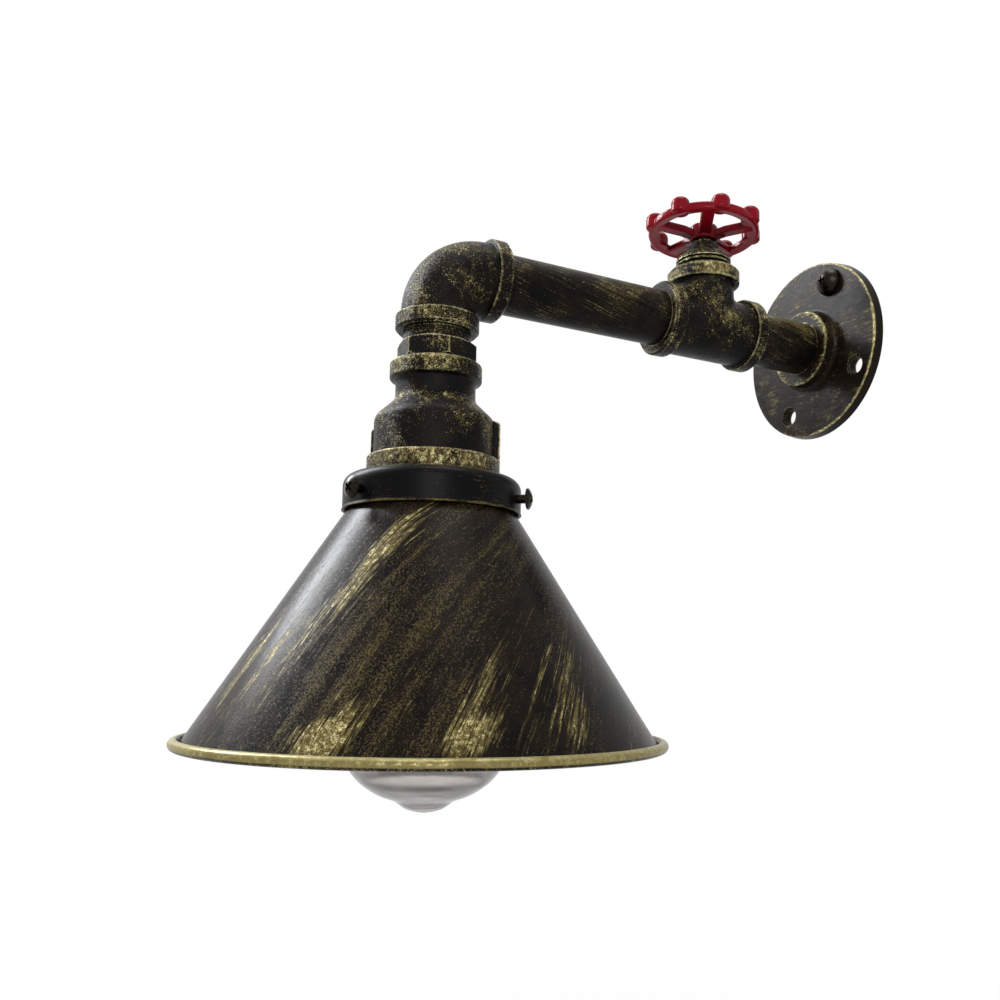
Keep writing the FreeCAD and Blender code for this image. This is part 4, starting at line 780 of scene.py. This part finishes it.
def make_lamp(name, place, aim, size, watts, colour):
    """A rectangular lamp that looks from its place at its aim."""
    data = bpy.data.lights.new(name, "AREA")
    data.energy = watts
    data.color = colour
    data.shape = "RECTANGLE"
    data.size, data.size_y = size
    lamp = bpy.data.objects.new(name, data)
    lamp.location = place
    lamp.rotation_mode = "QUATERNION"
    lamp.rotation_quaternion = (Vector(aim) - Vector(place)).to_track_quat("-Z", "Y")
    lamp.visible_camera = False
    bpy.context.collection.objects.link(lamp)


def seen_by_eye(tree):
    """1 where a ray from the camera, a gloss or a glass meets the background."""
    path = tree.nodes.new("ShaderNodeLightPath")
    total = path.outputs["Is Camera Ray"]
    for name in ("Is Glossy Ray", "Is Transmission Ray"):
        either = tree.nodes.new("ShaderNodeMath")
        either.operation = "MAXIMUM"
        tree.links.new(total, either.inputs[0])
        tree.links.new(path.outputs[name], either.inputs[1])
        total = either.outputs[0]
    return total


def finish_mixed(tree, output_kind, factor, first, second):
    """Ends a tree with two shaders mixed by a factor."""
    output = tree.nodes.new(output_kind)
    mix = tree.nodes.new("ShaderNodeMixShader")
    tree.links.new(factor, mix.inputs[0])
    tree.links.new(first.outputs[0], mix.inputs[1])
    tree.links.new(second.outputs[0], mix.inputs[2])
    tree.links.new(mix.outputs[0], output.inputs["Surface"])


def make_world():
    """Plain white to the eye, and a weaker soft light on the object."""
    world = bpy.data.worlds.new("studio")
    world.use_nodes = True
    tree = world.node_tree
    tree.nodes.clear()
    soft = tree.nodes.new("ShaderNodeBackground")
    soft.inputs["Color"].default_value = SKY_COLOUR
    soft.inputs["Strength"].default_value = SKY_STRENGTH
    white = tree.nodes.new("ShaderNodeBackground")
    white.inputs["Color"].default_value = (1, 1, 1, 1)
    white.inputs["Strength"].default_value = 1.0
    finish_mixed(tree, "ShaderNodeOutputWorld", seen_by_eye(tree), soft, white)
    bpy.context.scene.world = world


def make_floor():
    """A white floor that shades under the object and turns to plain white further out."""
    mesh = bpy.data.meshes.new("floor")
    corners = ((-1, -1), (1, -1), (1, 1), (-1, 1))
    places = [(FLOOR_HALF * x, FLOOR_HALF * y, FLOOR_Z) for x, y in corners]
    mesh.from_pydata(places, [], [(0, 1, 2, 3)])
    floor = bpy.data.objects.new("floor", mesh)
    bpy.context.collection.objects.link(floor)
    material = bpy.data.materials.new("floor")
    material.use_nodes = True
    tree = material.node_tree
    tree.nodes.clear()
    diffuse = tree.nodes.new("ShaderNodeBsdfDiffuse")
    diffuse.inputs["Color"].default_value = FLOOR_COLOUR
    glow = tree.nodes.new("ShaderNodeEmission")
    glow.inputs["Strength"].default_value = 1.0
    place = tree.nodes.new("ShaderNodeTexCoord")
    away = tree.nodes.new("ShaderNodeVectorMath")
    away.operation = "DISTANCE"
    tree.links.new(place.outputs["Object"], away.inputs[0])
    away.inputs[1].default_value = (0, HEAD_Y, FLOOR_Z)
    white = tree.nodes.new("ShaderNodeMapRange")
    white.interpolation_type = "SMOOTHSTEP"
    tree.links.new(away.outputs["Value"], white.inputs[0])
    for socket, value in zip(list(white.inputs)[1:5], FLOOR_WHITENS + FLOOR_WHITE):
        socket.default_value = value
    share = tree.nodes.new("ShaderNodeMath")
    share.operation = "MULTIPLY"
    tree.links.new(seen_by_eye(tree), share.inputs[0])
    tree.links.new(white.outputs[0], share.inputs[1])
    finish_mixed(tree, "ShaderNodeOutputMaterial", share.outputs[0], diffuse, glow)
    mesh.materials.append(material)


make_camera()
make_world()
make_floor()
for lamp_settings in LAMPS:
    make_lamp(*lamp_settings)
bpy.context.scene.view_settings.view_transform = "Standard"
